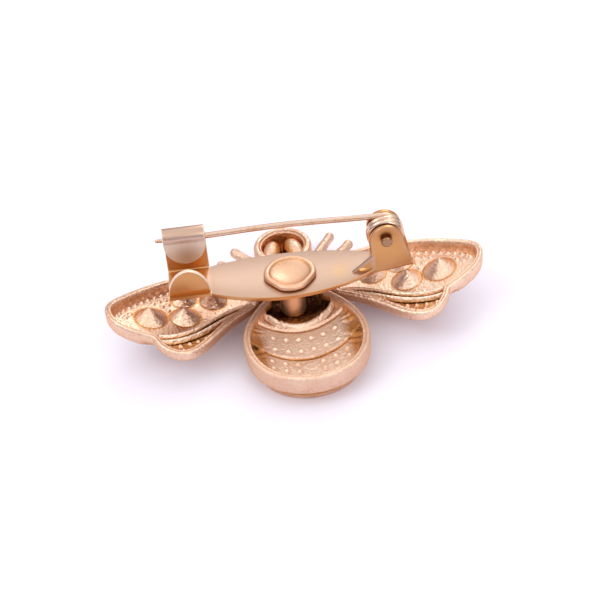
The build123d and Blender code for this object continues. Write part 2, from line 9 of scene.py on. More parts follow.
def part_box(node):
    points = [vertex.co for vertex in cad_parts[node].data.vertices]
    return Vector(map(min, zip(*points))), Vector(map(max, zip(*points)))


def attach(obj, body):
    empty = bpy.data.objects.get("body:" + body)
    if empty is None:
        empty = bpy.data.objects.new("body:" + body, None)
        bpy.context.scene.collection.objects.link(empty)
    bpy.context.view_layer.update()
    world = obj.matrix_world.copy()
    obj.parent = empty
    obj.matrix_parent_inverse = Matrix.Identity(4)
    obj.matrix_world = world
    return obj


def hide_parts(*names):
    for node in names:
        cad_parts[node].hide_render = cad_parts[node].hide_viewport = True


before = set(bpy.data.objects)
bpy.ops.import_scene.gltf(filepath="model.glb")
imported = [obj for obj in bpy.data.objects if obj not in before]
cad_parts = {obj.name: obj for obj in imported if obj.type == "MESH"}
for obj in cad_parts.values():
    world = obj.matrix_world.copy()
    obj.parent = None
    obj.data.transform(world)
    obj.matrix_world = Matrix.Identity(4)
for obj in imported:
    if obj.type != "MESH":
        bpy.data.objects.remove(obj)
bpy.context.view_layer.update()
scene = bpy.context.scene
MM = 0.001

# The table and the light: the brooch lies on its front on white paper, in a bright white tent.
# Lamps from the left, from behind and from in front give the satin metal its bright sides.
# The camera looks down on it from in front, a little turned and a little tilted.
CAMERA_YAW = math.radians(-5.47)
CAMERA_RISE = math.radians(38.82)
CAMERA_ROLL = math.radians(-6.18)
CAMERA_DISTANCE = 0.25
PIXELS_PER_MM = 7.48
AIM = Vector((0.0, 0.15 * MM, 6.0 * MM))
AIM_PIXEL = (295.58, 288.44)
IMAGE_SIZE = 600
SENSOR = 36
NEAREST = 0.01
PAPER_SIZE = 2.0
PAPER_COLOUR = (0.91, 0.89, 1.0)
PAPER_SHADE = 0.97
PAPER_ROUGHNESS = 0.85
FIBRE_SCALE, FIBRE_DETAIL, FIBRE_SHARE = 900.0, 3.0, 0.3
TENT_SHADES = [
    # height as a share of the sky, colour
    (0.08, (0.26, 0.26, 0.34, 1)),
    (0.62, (1.0, 0.985, 0.97, 1)),
]
TENT_STRENGTH = 1.15
LAMPS = [
    # name, place in metres, edge in metres, watts
    ("left_lamp", (-0.45, -0.1, 0.5), 0.3, 0.7),
    ("back_lamp", (0.25, 0.55, 0.4), 0.3, 0.8),
    ("front_lamp", (0.25, -0.5, 0.35), 0.25, 0.6),
]

away = Vector((
    math.sin(CAMERA_YAW) * math.cos(CAMERA_RISE),
    -math.cos(CAMERA_YAW) * math.cos(CAMERA_RISE),
    math.sin(CAMERA_RISE),
))
level = Vector((math.cos(CAMERA_YAW), math.sin(CAMERA_YAW), 0))
upward = away.cross(level)
right = level * math.cos(CAMERA_ROLL) + upward * math.sin(CAMERA_ROLL)
up = upward * math.cos(CAMERA_ROLL) - level * math.sin(CAMERA_ROLL)
lens = bpy.data.cameras.new("camera")
camera = bpy.data.objects.new("camera", lens)
scene.collection.objects.link(camera)
camera.matrix_world = Matrix.Translation(AIM + away * CAMERA_DISTANCE) @ (
    Matrix((right, up, away)).transposed().to_4x4()
)
lens.sensor_width = SENSOR
lens.lens = lens.sensor_width * PIXELS_PER_MM / MM * CAMERA_DISTANCE / IMAGE_SIZE
lens.shift_x = (IMAGE_SIZE / 2 - AIM_PIXEL[0]) / IMAGE_SIZE
lens.shift_y = (AIM_PIXEL[1] - IMAGE_SIZE / 2) / IMAGE_SIZE
lens.clip_start = NEAREST
scene.camera = camera
scene.view_settings.view_transform = "Standard"


class Finish:
    """A material being made: node() adds any node, and its values combine as expressions."""

    def __init__(self, name):
        self.material = bpy.data.materials.new(name)
        self.material.use_nodes = True
        self.tree = self.material.node_tree
        self.shader = self.tree.nodes["Principled BSDF"]

    def node(self, kind, settings=None, sockets=None):
        """Adds a node of that type, sets its settings first and then its sockets."""
        made = self.tree.nodes.new("ShaderNode" + kind)
        for name, value in (settings or {}).items():
            setattr(made, name, value)
        for name, value in (sockets or {}).items():
            self.feed(made.inputs[name], value)
        return made

    def feed(self, socket, value):
        """Links a value to a socket, or sets the socket to a number or colour."""
        if isinstance(value, Value):
            self.tree.links.new(value.socket, socket)
        elif isinstance(value, bpy.types.NodeSocket):
            self.tree.links.new(value, socket)
        else:
            socket.default_value = value

    def value(self, kind, output, settings=None, sockets=None):
        """One output of a new node, as a value."""
        return Value(self, self.node(kind, settings, sockets).outputs[output])

    def noise(self, scale, detail, **place):
        """Noise from 0 to 1, at the piece's own coordinates or at those given as Vector."""
        return self.value("TexNoise", "Fac", None, {"Scale": scale, "Detail": detail, **place})

    def set(self, **inputs):
        """Feeds the shader's sockets, named with underscores for spaces."""
        for name, value in inputs.items():
            self.feed(self.shader.inputs[name.replace("_", " ")], value)


class Value:
    """A node's number. An operator on it adds the Math node that works it out."""

    def __init__(self, finish, socket):
        self.finish = finish
        self.socket = socket

    def math(self, operation, *operands):
        """The Math node of that operation on the operands."""
        made = self.finish.node("Math", {"operation": operation})
        for socket, operand in zip(made.inputs, operands):
            self.finish.feed(socket, operand)
        return Value(self.finish, made.outputs[0])

    def __add__(self, other):
        return self.math("ADD", self, other)

    def __sub__(self, other):
        return self.math("SUBTRACT", self, other)

    def __neg__(self):
        return self.math("SUBTRACT", 0.0, self)

    def __mul__(self, other):
        return self.math("MULTIPLY", self, other)

    def between(self, low, high):
        """0 below low, 1 above high, and smooth between them."""
        sockets = {"Value": self, "From Min": low, "From Max": high}
        return self.finish.value("MapRange", 0, {"interpolation_type": "SMOOTHSTEP"}, sockets)


def blend_colours(finish, share, first, second):
    """The colour that is that share of the way from the first to the second."""
    made = finish.node("Mix", {"data_type": "RGBA"})
    finish.feed(made.inputs[0], share)
    finish.feed(made.inputs[6], first)
    finish.feed(made.inputs[7], second)
    return made.outputs[2]


def make_object(name, mesh, finishes, body=None, replaced=()):
    """Puts a mesh into the scene with its materials, hangs it on the body it rides on, and hides the parts
    it stands for.
    """
    piece = bpy.data.objects.new(name, mesh)
    scene.collection.objects.link(piece)
    for finish in finishes:
        mesh.materials.append(finish.material)
    if body:
        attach(piece, body)
    if replaced:
        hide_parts(*replaced)
    return piece


paper = Finish("white_paper")
fibre = paper.noise(FIBRE_SCALE, FIBRE_DETAIL)
shaded = (*[part * PAPER_SHADE for part in PAPER_COLOUR], 1)
paper.set(
    Base_Color=blend_colours(paper, fibre * FIBRE_SHARE, (*PAPER_COLOUR, 1), shaded),
    Roughness=PAPER_ROUGHNESS,
)
half = PAPER_SIZE / 2
corners = [(-half, -half, 0), (half, -half, 0), (half, half, 0), (-half, half, 0)]
paper_mesh = bpy.data.meshes.new("paper")
paper_mesh.from_pydata(corners, [], [(0, 1, 2, 3)])
make_object("paper", paper_mesh, [paper])

tent = bpy.data.worlds.new("tent")
tent.use_nodes = True
scene.world = tent
tent_nodes = tent.node_tree.nodes
sky = tent_nodes.new("ShaderNodeTexGradient")
where = tent_nodes.new("ShaderNodeTexCoord")
turned_up = tent_nodes.new("ShaderNodeVectorRotate")
turned_up.rotation_type = "Y_AXIS"
turned_up.inputs["Angle"].default_value = math.radians(90)
shades = tent_nodes.new("ShaderNodeValToRGB")
for element, (height, colour) in zip(shades.color_ramp.elements, TENT_SHADES):
    element.position = height
    element.color = colour
links = tent.node_tree.links
links.new(where.outputs["Generated"], turned_up.inputs["Vector"])
links.new(turned_up.outputs["Vector"], sky.inputs["Vector"])
links.new(sky.outputs["Fac"], shades.inputs["Fac"])
links.new(shades.outputs["Color"], tent_nodes["Background"].inputs["Color"])
tent_nodes["Background"].inputs["Strength"].default_value = TENT_STRENGTH

for name, place, edge, watts in LAMPS:
    lamp = bpy.data.lights.new(name, "AREA")
    lamp.size = edge
    lamp.energy = watts
    lamp_object = bpy.data.objects.new(name, lamp)
    lamp_object.location = place
    lamp_object.rotation_euler = (AIM - Vector(place)).to_track_quat("-Z", "Y").to_euler()
    scene.collection.objects.link(lamp_object)

# The plating: rose gold over a zinc alloy casting, satin, with a fine grain from the mould. Its colour
# carries painted light and shade: a painted highlight, pale or bright, on the faces that stand out, orange
# painted shade in the hollows, and dark painted shade deep inside. A piece's tone says which: -1 bright, 0
# pale, 1 orange, 2 dark.
# PALE is the plating's own colour; the three after it are a painted highlight, painted shade in the hollows
# and dark painted shade.
PALE = (0.80, 0.555, 0.415, 1)
PAINTED_HIGHLIGHT = (1.0, 0.80, 0.64, 1)
PAINTED_HOLLOW_SHADE = (0.62, 0.29, 0.10, 1)
PAINTED_DEEP_SHADE = (0.02, 0.002, 0.001, 1)
EDGE_TINT = (1.0, 0.76, 0.60, 1)
CLOUD_SCALE, CLOUD_DETAIL = 420.0, 4.0
GRAIN_SCALE, GRAIN_DETAIL = 3000.0, 3.0
PIT_SCALE = 2300.0
WEAR = 0.9
# Tones of the front panels and of the stone fields: a little orange painted shade.
FRONT_TONE, FIELD_TONE = 0.4, 0.2
ROUGHNESS_WEAR = 0.3
GRAIN_STRENGTH = 0.8
GRAIN_BUMP, PIT_BUMP, CLOUD_BUMP = 1.2, 0.6, 0.4


def plated_metal(name, pale, grain_height, roughness):
    """Satin plating whose colour follows the tone's painted light and shade, worn in clouds and in the
    grain.
    """
    finish = Finish(name)
    place = finish.node("TexCoord").outputs["Object"]
    tone = finish.value("Attribute", "Fac", {"attribute_name": "tone"})
    cloud = finish.noise(CLOUD_SCALE, CLOUD_DETAIL, Vector=place)
    grain = finish.noise(GRAIN_SCALE, GRAIN_DETAIL, Vector=place)
    pits = finish.value("TexVoronoi", "Distance", None, {"Vector": place, "Scale": PIT_SCALE})
    # The tone's painted light and shade, varied by the clouds and the grain.
    painted_light_and_wear = tone + (cloud - 0.5) * WEAR + (grain - 0.5) * WEAR
    colour = blend_colours(finish, painted_light_and_wear.between(-1.0, 0.0), PAINTED_HIGHLIGHT, pale)
    colour = blend_colours(finish, painted_light_and_wear.between(0.0, 1.0), colour, PAINTED_HOLLOW_SHADE)
    colour = blend_colours(finish, painted_light_and_wear.between(1.0, 2.0), colour, PAINTED_DEEP_SHADE)
    bump = finish.node("Bump", None, {"Strength": GRAIN_STRENGTH, "Distance": grain_height * MM})
    finish.feed(bump.inputs["Height"], grain * GRAIN_BUMP + pits * PIT_BUMP + cloud * CLOUD_BUMP)
    finish.set(
        Base_Color=colour,
        Metallic=1.0,
        Roughness=(cloud - 0.5) * ROUGHNESS_WEAR + (grain - 0.5) * ROUGHNESS_WEAR + roughness,
        Normal=bump.outputs["Normal"],
        Specular_Tint=EDGE_TINT,
    )
    return finish


cast_metal = plated_metal("rose_gold_casting", PALE, grain_height=0.11, roughness=0.36)

# Lines and sheets, in millimetres: a piece's outlines are splines, sheets of points are spread
# between lines, and the sheets of a piece are merged into one mesh.
SPLINE_STEPS = 12
SMALL_INSET = 0.3
INSET_SLACK = 0.03
LINE_PARTS = 40
DOT_FALL = 1.5
MERGE = 0.0008
SHARP_ANGLE = math.radians(38)


def smooth_line(points, count, closed=False):
    """A cubic spline through the points, timed by its chords, read at even steps of its length."""
    points = np.array(points, float)
    lead = 4 if closed else 0
    if closed:
        points = np.concatenate([points[-lead:], points, points[:lead + 1]])
    chords = np.linalg.norm(np.diff(points, axis=0), axis=1)
    times = np.concatenate([[0], np.cumsum(chords)])
    n = len(points)
    matrix = np.eye(n)
    known = np.zeros((n, points.shape[1]))
    for i in range(1, n - 1):
        before, after = chords[i - 1], chords[i]
        matrix[i, i - 1:i + 2] = before, 2 * (before + after), after
        known[i] = 6 * ((points[i + 1] - points[i]) / after - (points[i] - points[i - 1]) / before)
    bends = np.linalg.solve(matrix, known)
    first, last = (times[lead], times[-1 - lead]) if closed else (times[0], times[-1])
    t = np.linspace(first, last, SPLINE_STEPS * count)
    i = np.clip(np.searchsorted(times, t, "right") - 1, 0, n - 2)
    step = chords[i][:, None]
    a = (times[i + 1] - t)[:, None]
    b = (t - times[i])[:, None]
    run = (
        (bends[i] * a**3 + bends[i + 1] * b**3) / (6 * step)
        + (points[i] / step - bends[i] * step / 6) * a
        + (points[i + 1] / step - bends[i + 1] * step / 6) * b
    )
    return even_steps(run, count)


def even_steps(run, count, shares=None):
    """Points along a line at even steps of its length, or at the given shares of it."""
    length = np.concatenate([[0], np.cumsum(np.linalg.norm(np.diff(run, axis=0), axis=1))])
    shares = np.linspace(0, 1, count) if shares is None else shares
    return np.stack([np.interp(shares * length[-1], length, column) for column in run.T], -1)


def loop_of(first, second):
    """One closed line, out along the first side and back along the second, which share both ends."""
    return np.concatenate([first, second[-2:0:-1]])


def across(loop, count):
    """A sheet of places between the two sides of a line made by loop_of, straight across."""
    half_way = len(loop) // 2 + 1
    first, second = loop[:half_way], np.concatenate([loop[:1], loop[:half_way - 2:-1]])
    share = np.linspace(0, 1, count)[None, :, None]
    return first[:, None] * (1 - share) + second[:, None] * share


def inset(loop, distance):
    """The closed line moved inwards by a distance; points that would cross are drawn together."""
    ahead = np.roll(loop, -1, 0) - np.roll(loop, 1, 0)
    ahead /= np.linalg.norm(ahead, axis=1)[:, None]
    area = np.sum(loop[:, 0] * np.roll(loop[:, 1], -1) - np.roll(loop[:, 0], -1) * loop[:, 1])
    inward = np.stack([-ahead[:, 1], ahead[:, 0]], -1) * np.sign(area)
    moved = loop + distance * inward
    if distance < SMALL_INSET:
        return moved
    gaps = np.linalg.norm(moved[:, None] - loop[None], axis=2).min(1)
    kept = np.flatnonzero(gaps > distance - INSET_SLACK)
    index = np.arange(len(loop))
    return np.stack([np.interp(index, kept, moved[kept, k], period=len(loop)) for k in range(2)], -1)


def step_between(value, low, high):
    """0 below low, 1 above high, and smooth between them."""
    share = np.clip((value - low) / (high - low), 0, 1)
    return share * share * (3 - 2 * share)


def bell(value, centre, width):
    """A bell curve of height 1 about a centre: e to minus the square of the distance in widths."""
    return np.exp(-((value - centre) / width) ** 2)


def distance_to(x, y, line):
    """How far each place is from the nearest point of a line."""
    flat = np.stack([x.ravel(), y.ravel()], -1)
    nearest = np.full(len(flat), np.inf)
    for part in np.array_split(np.arange(len(line)), max(1, len(line) // LINE_PARTS)):
        gaps = np.linalg.norm(flat[:, None] - line[part][None], axis=2).min(1)
        nearest = np.minimum(nearest, gaps)
    return nearest.reshape(x.shape)


def bumps(x, y, spots, radius, height):
    """Low round dots: a cosine's fall from each spot, to a power that hollows its foot."""
    raised = np.zeros_like(x)
    for spot_x, spot_y in spots:
        reach = np.hypot(x - spot_x, y - spot_y) / radius
        raised = np.maximum(raised, height * np.cos(np.clip(reach, 0, 1) * np.pi / 2) ** DOT_FALL)
    return raised


def sheet_mesh(name, sheets):
    """One mesh from sheets of points, each rows by columns of x, y, z in millimetres with a tone.

    Each sheet is (points, tones, closed): closed joins its last column to its first. Edges and
    poles that meet are merged, and faces are turned outwards.
    """
    places, tones, faces = [], [], []
    start = 0
    for points, tone, closed in sheets:
        rows, columns = points.shape[:2]
        places.append(points.reshape(-1, 3) * MM)
        tones.append(np.broadcast_to(tone, (rows, columns)).ravel())
        index = start + np.arange(rows * columns).reshape(rows, columns)
        if closed:
            index = np.concatenate([index, index[:, :1]], 1)
        quads = np.stack([index[:-1, :-1], index[:-1, 1:], index[1:, 1:], index[1:, :-1]], -1)
        faces.append(quads.reshape(-1, 4))
        start += rows * columns
    places, tones, faces = np.concatenate(places), np.concatenate(tones), np.concatenate(faces)
    mesh = bpy.data.meshes.new(name)
    mesh.from_pydata(places.tolist(), [], faces.tolist())
    layer = mesh.attributes.new("tone", "FLOAT", "POINT")
    layer.data.foreach_set("value", tones.astype(np.float32))
    work = bmesh.new()
    work.from_mesh(mesh)
    bmesh.ops.remove_doubles(work, verts=work.verts, dist=MERGE * MM)
    bmesh.ops.recalc_face_normals(work, faces=work.faces)
    work.to_mesh(mesh)
    work.free()
    mesh.shade_smooth()
    mesh.set_sharp_from_angle(angle=SHARP_ANGLE)
    return mesh


def cast_piece(name, sheets, metal):
    """A piece that stands for its part of the casting."""
    make_object(name, sheet_mesh(name, sheets), [metal], "brooch", ["casting"])


def tray(outline, wall, floor, profile, front_inset, side, front, columns, front_columns=14):
    """The sheets of a closed tray: floor, wall and rim along the outline, and a front panel.

    floor gives points and tones at places, side gives points at places and a share of the profile,
    and front gives the front panel's points.
    """
    edge = inset(outline, wall)
    rows = [floor(*edge.T)]
    for distance, share, tone in profile:
        line = inset(outline, distance)
        rows.append((side(*line.T, share), np.full(len(line), tone)))
    under = inset(outline, front_inset)
    rows.append((front(*under.T), np.full(len(under), FRONT_TONE)))
    points, tones = (np.array(part) for part in zip(*rows))
    return [
        (*floor(*np.moveaxis(across(edge, columns), -1, 0)), False),
        (points, tones, True),
        (front(*np.moveaxis(across(under, front_columns), -1, 0)), FRONT_TONE, False),
    ]


# The wings: two shallow trays cast in one with the body, curved up to their tips. A deep fore
# wing and a shallower hind lobe meet at two raised veins. Inside stand the pointed backs of four
# stone cups and rows of dots, where the small stones' seats show through.
HALF_SPAN = 25.45
TIP_Y = 0.65
FRONT_CHORD = 7.6
BACK_CHORD = 9.5
BEND_RADIUS = 85.0
WING_RIM_Z = 4.1
BEND_Z = WING_RIM_Z + BEND_RADIUS
FORE_WALL = 2.1
HIND_WALL = 1.45
FORE_DEPTH = 1.35
HIND_DEPTH = 0.85
FLOOR_STEP = (-0.05, 0.55)
FRONT_STEP = (-0.3, 0.1)
RIM_WIDTH = 0.97
WING_STEPS = 330
WING_ACROSS = 130
WING_FRONT_ACROSS = 40
# The right wing's copy of the plating is painted paler than the left's: painted light.
WING_PALE_PAINTED_LIGHT = {"right": (0.90, 0.65, 0.49, 1), "left": (0.82, 0.565, 0.415, 1)}
ROOT = [(4.95, 4.0), (4.75, 5.9), (4.5, 7.15)]
ROOT_BACK = [(4.85, 1.3), (4.95, 4.0)]
LEADING = [
    # share of the half span, share of the chord, in this table and the next three
    (0.19, 0.93), (0.316, 0.98), (0.473, 1.0), (0.631, 0.88), (0.77, 0.67), (0.907, 0.37), (1.0, 0.0),
]
TRAILING = [(0.972, -0.32), (0.86, -0.545), (0.78, -0.64)]
LOBE = [
    (0.78, -0.64), (0.76, -0.77), (0.7, -0.95), (0.63, -1.0), (0.55, -0.9), (0.44, -0.59), (0.33, -0.28),
    (0.217, -0.05),
]
VEIN = [
    (0.762, -0.545), (0.70, -0.545), (0.638, -0.51), (0.532, -0.375), (0.426, -0.17), (0.323, -0.01),
    (0.25, 0.06),
]
OUTLINE_POINTS, LOBE_POINTS, VEIN_POINTS, ROOT_POINTS, ROOT_BACK_POINTS = 700, 300, 240, 60, 50
BACK_SHARES = ([0, 0.2, 1], [0, 0.24, 1])
VEIN_SPACING = 1.05
VEIN_HALF = 0.44
VEIN_HEIGHT = 0.55
VEIN_FALL = 1.6
CUPS = [
    # x as a share of the half span, y from the wing tip's line, radius: tip, middle, upper, root
    (0.772, -0.4, 2.15),
    (0.594, -0.35, 2.0),
    (0.588, 3.45, 1.75),
    (0.432, 2.85, 1.85),
]
CUP_HEIGHT_SHARE = 0.87
CUP_BLUNT = 0.965
CUP_WALL = 0.3
COLLAR = [
    # how far outside the stone's seat, height over the wing's front
    (0.3, -0.1),
    (0.28, 0.12),
    (0.16, 0.22),
    (0.04, 0.2),
    (0.0, -0.1),
    (0.3, -0.1),
]
COLLAR_STEPS = 48
DOT_RADIUS = 0.4
DOT_HEIGHT = 0.27
DOT_PITCH = 1.05
DOT_CLEAR = 0.9
WING_ROWS = [
    # distance inside the leading edge, first and last share along it
    (1.4, 0.30, 0.96),
    (2.45, 0.26, 0.95),
    (3.5, 0.22, 0.92),
    (4.55, 0.22, 0.90),
]
HIND_ROWS = [
    # distance in front of the first vein, first and last share along it
    (-1.95, 0.10, 0.70),
    (-2.85, 0.10, 0.60),
    (-3.75, 0.10, 0.50),
]
HIND_CLEAR = 1.35
AHEAD_SHARE = 0.002
# Tones painted on the wing's floor: the hind floor in orange painted shade, painted highlights on the dots
# and veins, and painted shade beside each vein and round each cup's foot.
HIND_TONE, FORE_TONE = 0.8, 0.75
WING_DOT_TONE, VEIN_TONE = 3.2, 2.6
VEIN_SHADE, VEIN_SHADE_PLACE, VEIN_SHADE_WIDTH = 1.5, 0.06, 0.16
CUP_SHADE_PLACE, CUP_SHADE_WIDTH = 1.04, 0.07
WING_PROFILE = [
    # inset from the outline, share of the way from the back's rim (0) to the front (1), tone of painted
    # light and shade
    (0.93, 0.30, 0.5),
    (0.90, 0.12, 0.35),
    (0.84, 0.03, 0.1),
    (0.74, -0.02, -0.4),
    (0.66, -0.02, -0.2),
    (0.56, 0.02, 0.4),
    (0.46, 0.0, 0.2),
    (0.34, -0.03, -0.3),
    (0.20, 0.0, -0.3),
    (0.08, 0.06, 0.0),
    (0.01, 0.16, 0.0),
    (0.0, 0.30, 0.08),
    (0.0, 0.60, 0.12),
    (0.04, 0.80, 0.2),
    (0.14, 0.92, 0.3),
    (0.32, 0.985, 0.4),
]
WING_FRONT_INSET = 0.6


def wing_line(shares, count):
    """A spline through outline points given as shares of the half span and of a chord."""
    points = [(a * HALF_SPAN, TIP_Y + b * (FRONT_CHORD if b > 0 else BACK_CHORD)) for a, b in shares]
    return smooth_line(points, count)


def lifted(x, y, depth):
    """Points at a depth under the wings' curved back, which is a cylinder along Y."""
    return np.stack([x, y, BEND_Z - np.sqrt((BEND_RADIUS + depth) ** 2 - x**2)], -1)


def row_of_dots(line, beside, first, last):
    """Places at the dots' pitch along a line, moved off it to its right."""
    length = np.linalg.norm(np.diff(line, axis=0), axis=1).sum()
    steps = int((last - first) * length / DOT_PITCH)
    shares = first + (last - first) * np.arange(steps + 1) / steps
    spots = even_steps(line, None, shares)
    ahead = even_steps(line, None, shares + AHEAD_SHARE) - even_steps(line, None, shares - AHEAD_SHARE)
    ahead /= np.linalg.norm(ahead, axis=1)[:, None]
    return spots + beside * np.stack([ahead[:, 1], -ahead[:, 0]], -1)


fore_line = wing_line(LEADING + TRAILING, OUTLINE_POINTS)
tip = np.argmax(fore_line[:, 0])
lead_line = fore_line[:tip + 1]
vein_line = wing_line(VEIN, VEIN_POINTS)
lobe_line = wing_line(LOBE, LOBE_POINTS)
cups = [(share * HALF_SPAN, TIP_Y + rise, radius) for share, rise, radius in CUPS]
fore_spots = np.concatenate([row_of_dots(lead_line, *row) for row in WING_ROWS])
clear_of_cups = [
    all(np.hypot(x - cup_x, y - cup_y) > radius + DOT_RADIUS * DOT_CLEAR for cup_x, cup_y, radius in cups)
    for x, y in fore_spots
]
hind_spots = np.concatenate([row_of_dots(vein_line, *row) for row in HIND_ROWS])
hind_edge = np.concatenate([fore_line[tip:], lobe_line])
hind_spots = hind_spots[distance_to(*hind_spots.T, hind_edge) > HIND_CLEAR]
wing_spots = np.concatenate([fore_spots[clear_of_cups], hind_spots])


def before_vein(x, y):
    """How far a place lies in front of the first vein, along Y."""
    order = np.argsort(vein_line[:, 0])
    return y - np.interp(x, vein_line[order, 0], vein_line[order, 1])


def wing_floor(x, y):
    """Points and tones of the tray's floor: two levels, veins, cup backs and dots."""
    fore = step_between(before_vein(x, y), *FLOOR_STEP)
    depth = HIND_DEPTH + (FORE_DEPTH - HIND_DEPTH) * fore
    raised = bumps(x, y, wing_spots, DOT_RADIUS, DOT_HEIGHT)
    # The tones paint light and shade: the hind floor shaded, the dots and veins as painted highlights,
    # painted shade beside the veins and round the cups' feet, and the cup backs pale.
    tone = HIND_TONE - FORE_TONE * fore - WING_DOT_TONE * raised
    for shift in (0.0, -VEIN_SPACING):
        away = distance_to(x, y, vein_line + (0, shift))
        ridge = VEIN_HEIGHT * np.cos(np.clip(away / VEIN_HALF, 0, 1) * np.pi / 2) ** VEIN_FALL
        raised = np.maximum(raised, ridge)
        shade = bell(away, VEIN_HALF + VEIN_SHADE_PLACE, VEIN_SHADE_WIDTH)
        tone = tone - VEIN_TONE * ridge + VEIN_SHADE * shade
    for cup_x, cup_y, radius in cups:
        reach = np.hypot(x - cup_x, y - cup_y) / radius
        raised = np.maximum(raised, radius * CUP_HEIGHT_SHARE * np.clip(1 - reach, 0, CUP_BLUNT))
        tone = np.where(reach < 1, 0.0, tone) + bell(reach, CUP_SHADE_PLACE, CUP_SHADE_WIDTH)
    return lifted(x, y, depth - raised), np.clip(tone, -1, 2)


def wing_front(x, y):
    """Depth of the front: the deep fore wing, and the hind lobe behind the veins."""
    return HIND_WALL + (FORE_WALL - HIND_WALL) * step_between(before_vein(x, y), *FRONT_STEP)


def wing_side(x, y, share=1.0):
    """Points at a share of the way from the back's rim to the front."""
    return lifted(x, y, share * wing_front(x, y))


def wing_axes(x, depth):
    """Two directions at the wing's front: along the bend, and outwards."""
    lean = math.asin(x / (BEND_RADIUS + depth))
    return np.array([math.cos(lean), 0, math.sin(lean)]), np.array([math.sin(lean), 0, -math.cos(lean)])


def turned_round(profile, x, y, count):
    """A profile of radii and heights turned about a place on the fore wing's front, heights outwards."""
    spin = np.linspace(0, 2 * math.pi, count, endpoint=False)
    sideways, outwards = wing_axes(x, FORE_WALL)
    circle = np.cos(spin)[:, None] * sideways + np.sin(spin)[:, None] * (0, 1, 0)
    points = [lifted(x, y, FORE_WALL) + radius * circle + height * outwards for radius, height in profile]
    return np.array(points), FIELD_TONE, True


def mirrored(sheets, sign):
    """The sheets of the right side, or of the left where the sign is -1."""
    return [(points * (sign, 1, 1), tone, closed) for points, tone, closed in sheets]


front_side = even_steps(np.concatenate([smooth_line(ROOT, ROOT_POINTS), lead_line]), WING_STEPS)
back_run = np.concatenate([fore_line[tip:], lobe_line[1:], smooth_line(ROOT_BACK, ROOT_BACK_POINTS)[1:]])
back_side = even_steps(back_run, WING_STEPS, np.interp(np.linspace(0, 1, WING_STEPS), *BACK_SHARES))
wing_outline = loop_of(front_side, back_side[::-1])
wing_sheets = tray(
    wing_outline, RIM_WIDTH, wing_floor, WING_PROFILE, WING_FRONT_INSET, wing_side, wing_side, WING_ACROSS,
    WING_FRONT_ACROSS,
)
for cup_x, cup_y, radius in cups:
    collar = [(radius - CUP_WALL + outside, height) for outside, height in COLLAR]
    wing_sheets.append(turned_round(collar, cup_x, cup_y, COLLAR_STEPS))
for side, sign in (("right", 1), ("left", -1)):
    name = f"rose_gold_{side}_wing"
    wing_metal = plated_metal(name, WING_PALE_PAINTED_LIGHT[side], grain_height=0.11, roughness=0.36)
    cast_piece(f"{side}_wing", mirrored(wing_sheets, sign), wing_metal)

# The body: the abdomen's stepped cup and the thorax, one hollow casting with a flat raised rim.
# The abdomen's stripes show through as bands that step down over a barrel-shaped floor, each with
# rows of dots, and the side walls are streaked where the mould was cut.
TAIL_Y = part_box("casting")[0][1] / MM
BODY_RIM_Z = 4.5
ABDOMEN_LENGTH = 19.95
ABDOMEN_HALF = 8.35
EGG = [(0.0, 0.0), (0.70, 0.115), (1.0, 0.45), (0.655, 0.815)]
EGG_POINTS, OVAL_POINTS = 1600, 300
THORAX_Y = 4.5
THORAX_HALF = (5.7, 5.2)
THORAX_FLOOR_Z = 2.3
THORAX_FRONT_Z, THORAX_FRONT_STEP = 0.5, (-1.0, 1.5)
BARREL_Z = THORAX_FLOOR_Z + 10.5
BARREL_LEAST = 4.0
BAND_CURVE, LIP_CURVE, LIP_Y = 0.033, 0.11, -3.4
BODY_WALL = 1.05
BODY_STEPS = 330
BODY_ACROSS = 150
HIGHEST_FLOOR = 0.92
FLOOR_LINE = [
    # y in the middle, height of the floor there
    (TAIL_Y, BODY_RIM_Z),
    (TAIL_Y + 2.2, 1.95),
    (TAIL_Y + 3.2, 1.3),
    (-9.02, 1.21),
    (-8.9, 1.50),
    (-8.6, 1.52),
    (-8.2, 1.45),
    (-3.75, 1.62),
    (-3.6, 1.7),
    (-3.35, 2.2),
    (-3.05, 2.42),
    (-2.7, 2.34),
    (-2.4, THORAX_FLOOR_Z),
    (12.0, THORAX_FLOOR_Z),
]
BODY_ROWS = [
    # y in the middle, places, middle place left out
    (-5.2, 6, False),
    (-7.4, 6, False),
    (-9.9, 7, True),
    (-11.35, 7, True),
]
BODY_DOT_PITCH, BODY_DOT_RADIUS, BODY_DOT_HEIGHT, DOT_CURVE = 1.65, 0.46, 0.30, 0.02
# The floor's tones paint light and shade: painted highlights on the dots with painted shadows just below
# them, pale bands, orange painted shade on the side walls, bright risers and dark painted shade in the
# hollow round the post.
DOT_TONE, DOT_SHADE_TONE, DOT_SHADE_Y, DOT_SHADE_SPREAD = 1.8, 1.1, -0.18, 1.5
SIDE_RISE, SIDE_SPAN, BAND_TONE, SIDE_TONE = (0.9, 1.9), (-2.0, 1.0), -0.9, 1.75
SPOKE_Y, SPOKE_SHARE, SPOKE_REACH = -14.0, 0.55, 6.0
STREAKS, STREAK_SPAN, STREAK_HEIGHT, STREAK_TONE = (46, 2.2, 17), (-11.0, -8.5), 0.15, 0.35
FACETS, FACET_SPAN, FACET_HEIGHT = (6.5, 2.0, 2.7), (1.2, 3.0), 0.12
LEDGE, RISER, RISER_TONE = ((-3.7, -3.4), (2.2, 2.9)), ((-3.75, -3.6), (2.8, 3.05)), -0.8
HOLLOW_STEP, HOLLOW_TONE, DEEP_STEP, DEEP_TONE = (-3.05, -2.7), 1.5, (-3.0, -0.6), 0.5
DISC_X, DISC_Y, DISC_SQUASH, DISC_RADIUS = 0.05, -10.3, 1.3, 0.95
DISC_EDGE, DISC_HEIGHT = (-0.08, 0.08), 0.05
LOW_BAND_Y, LOW_BAND_TONE = -8.95, 0.35
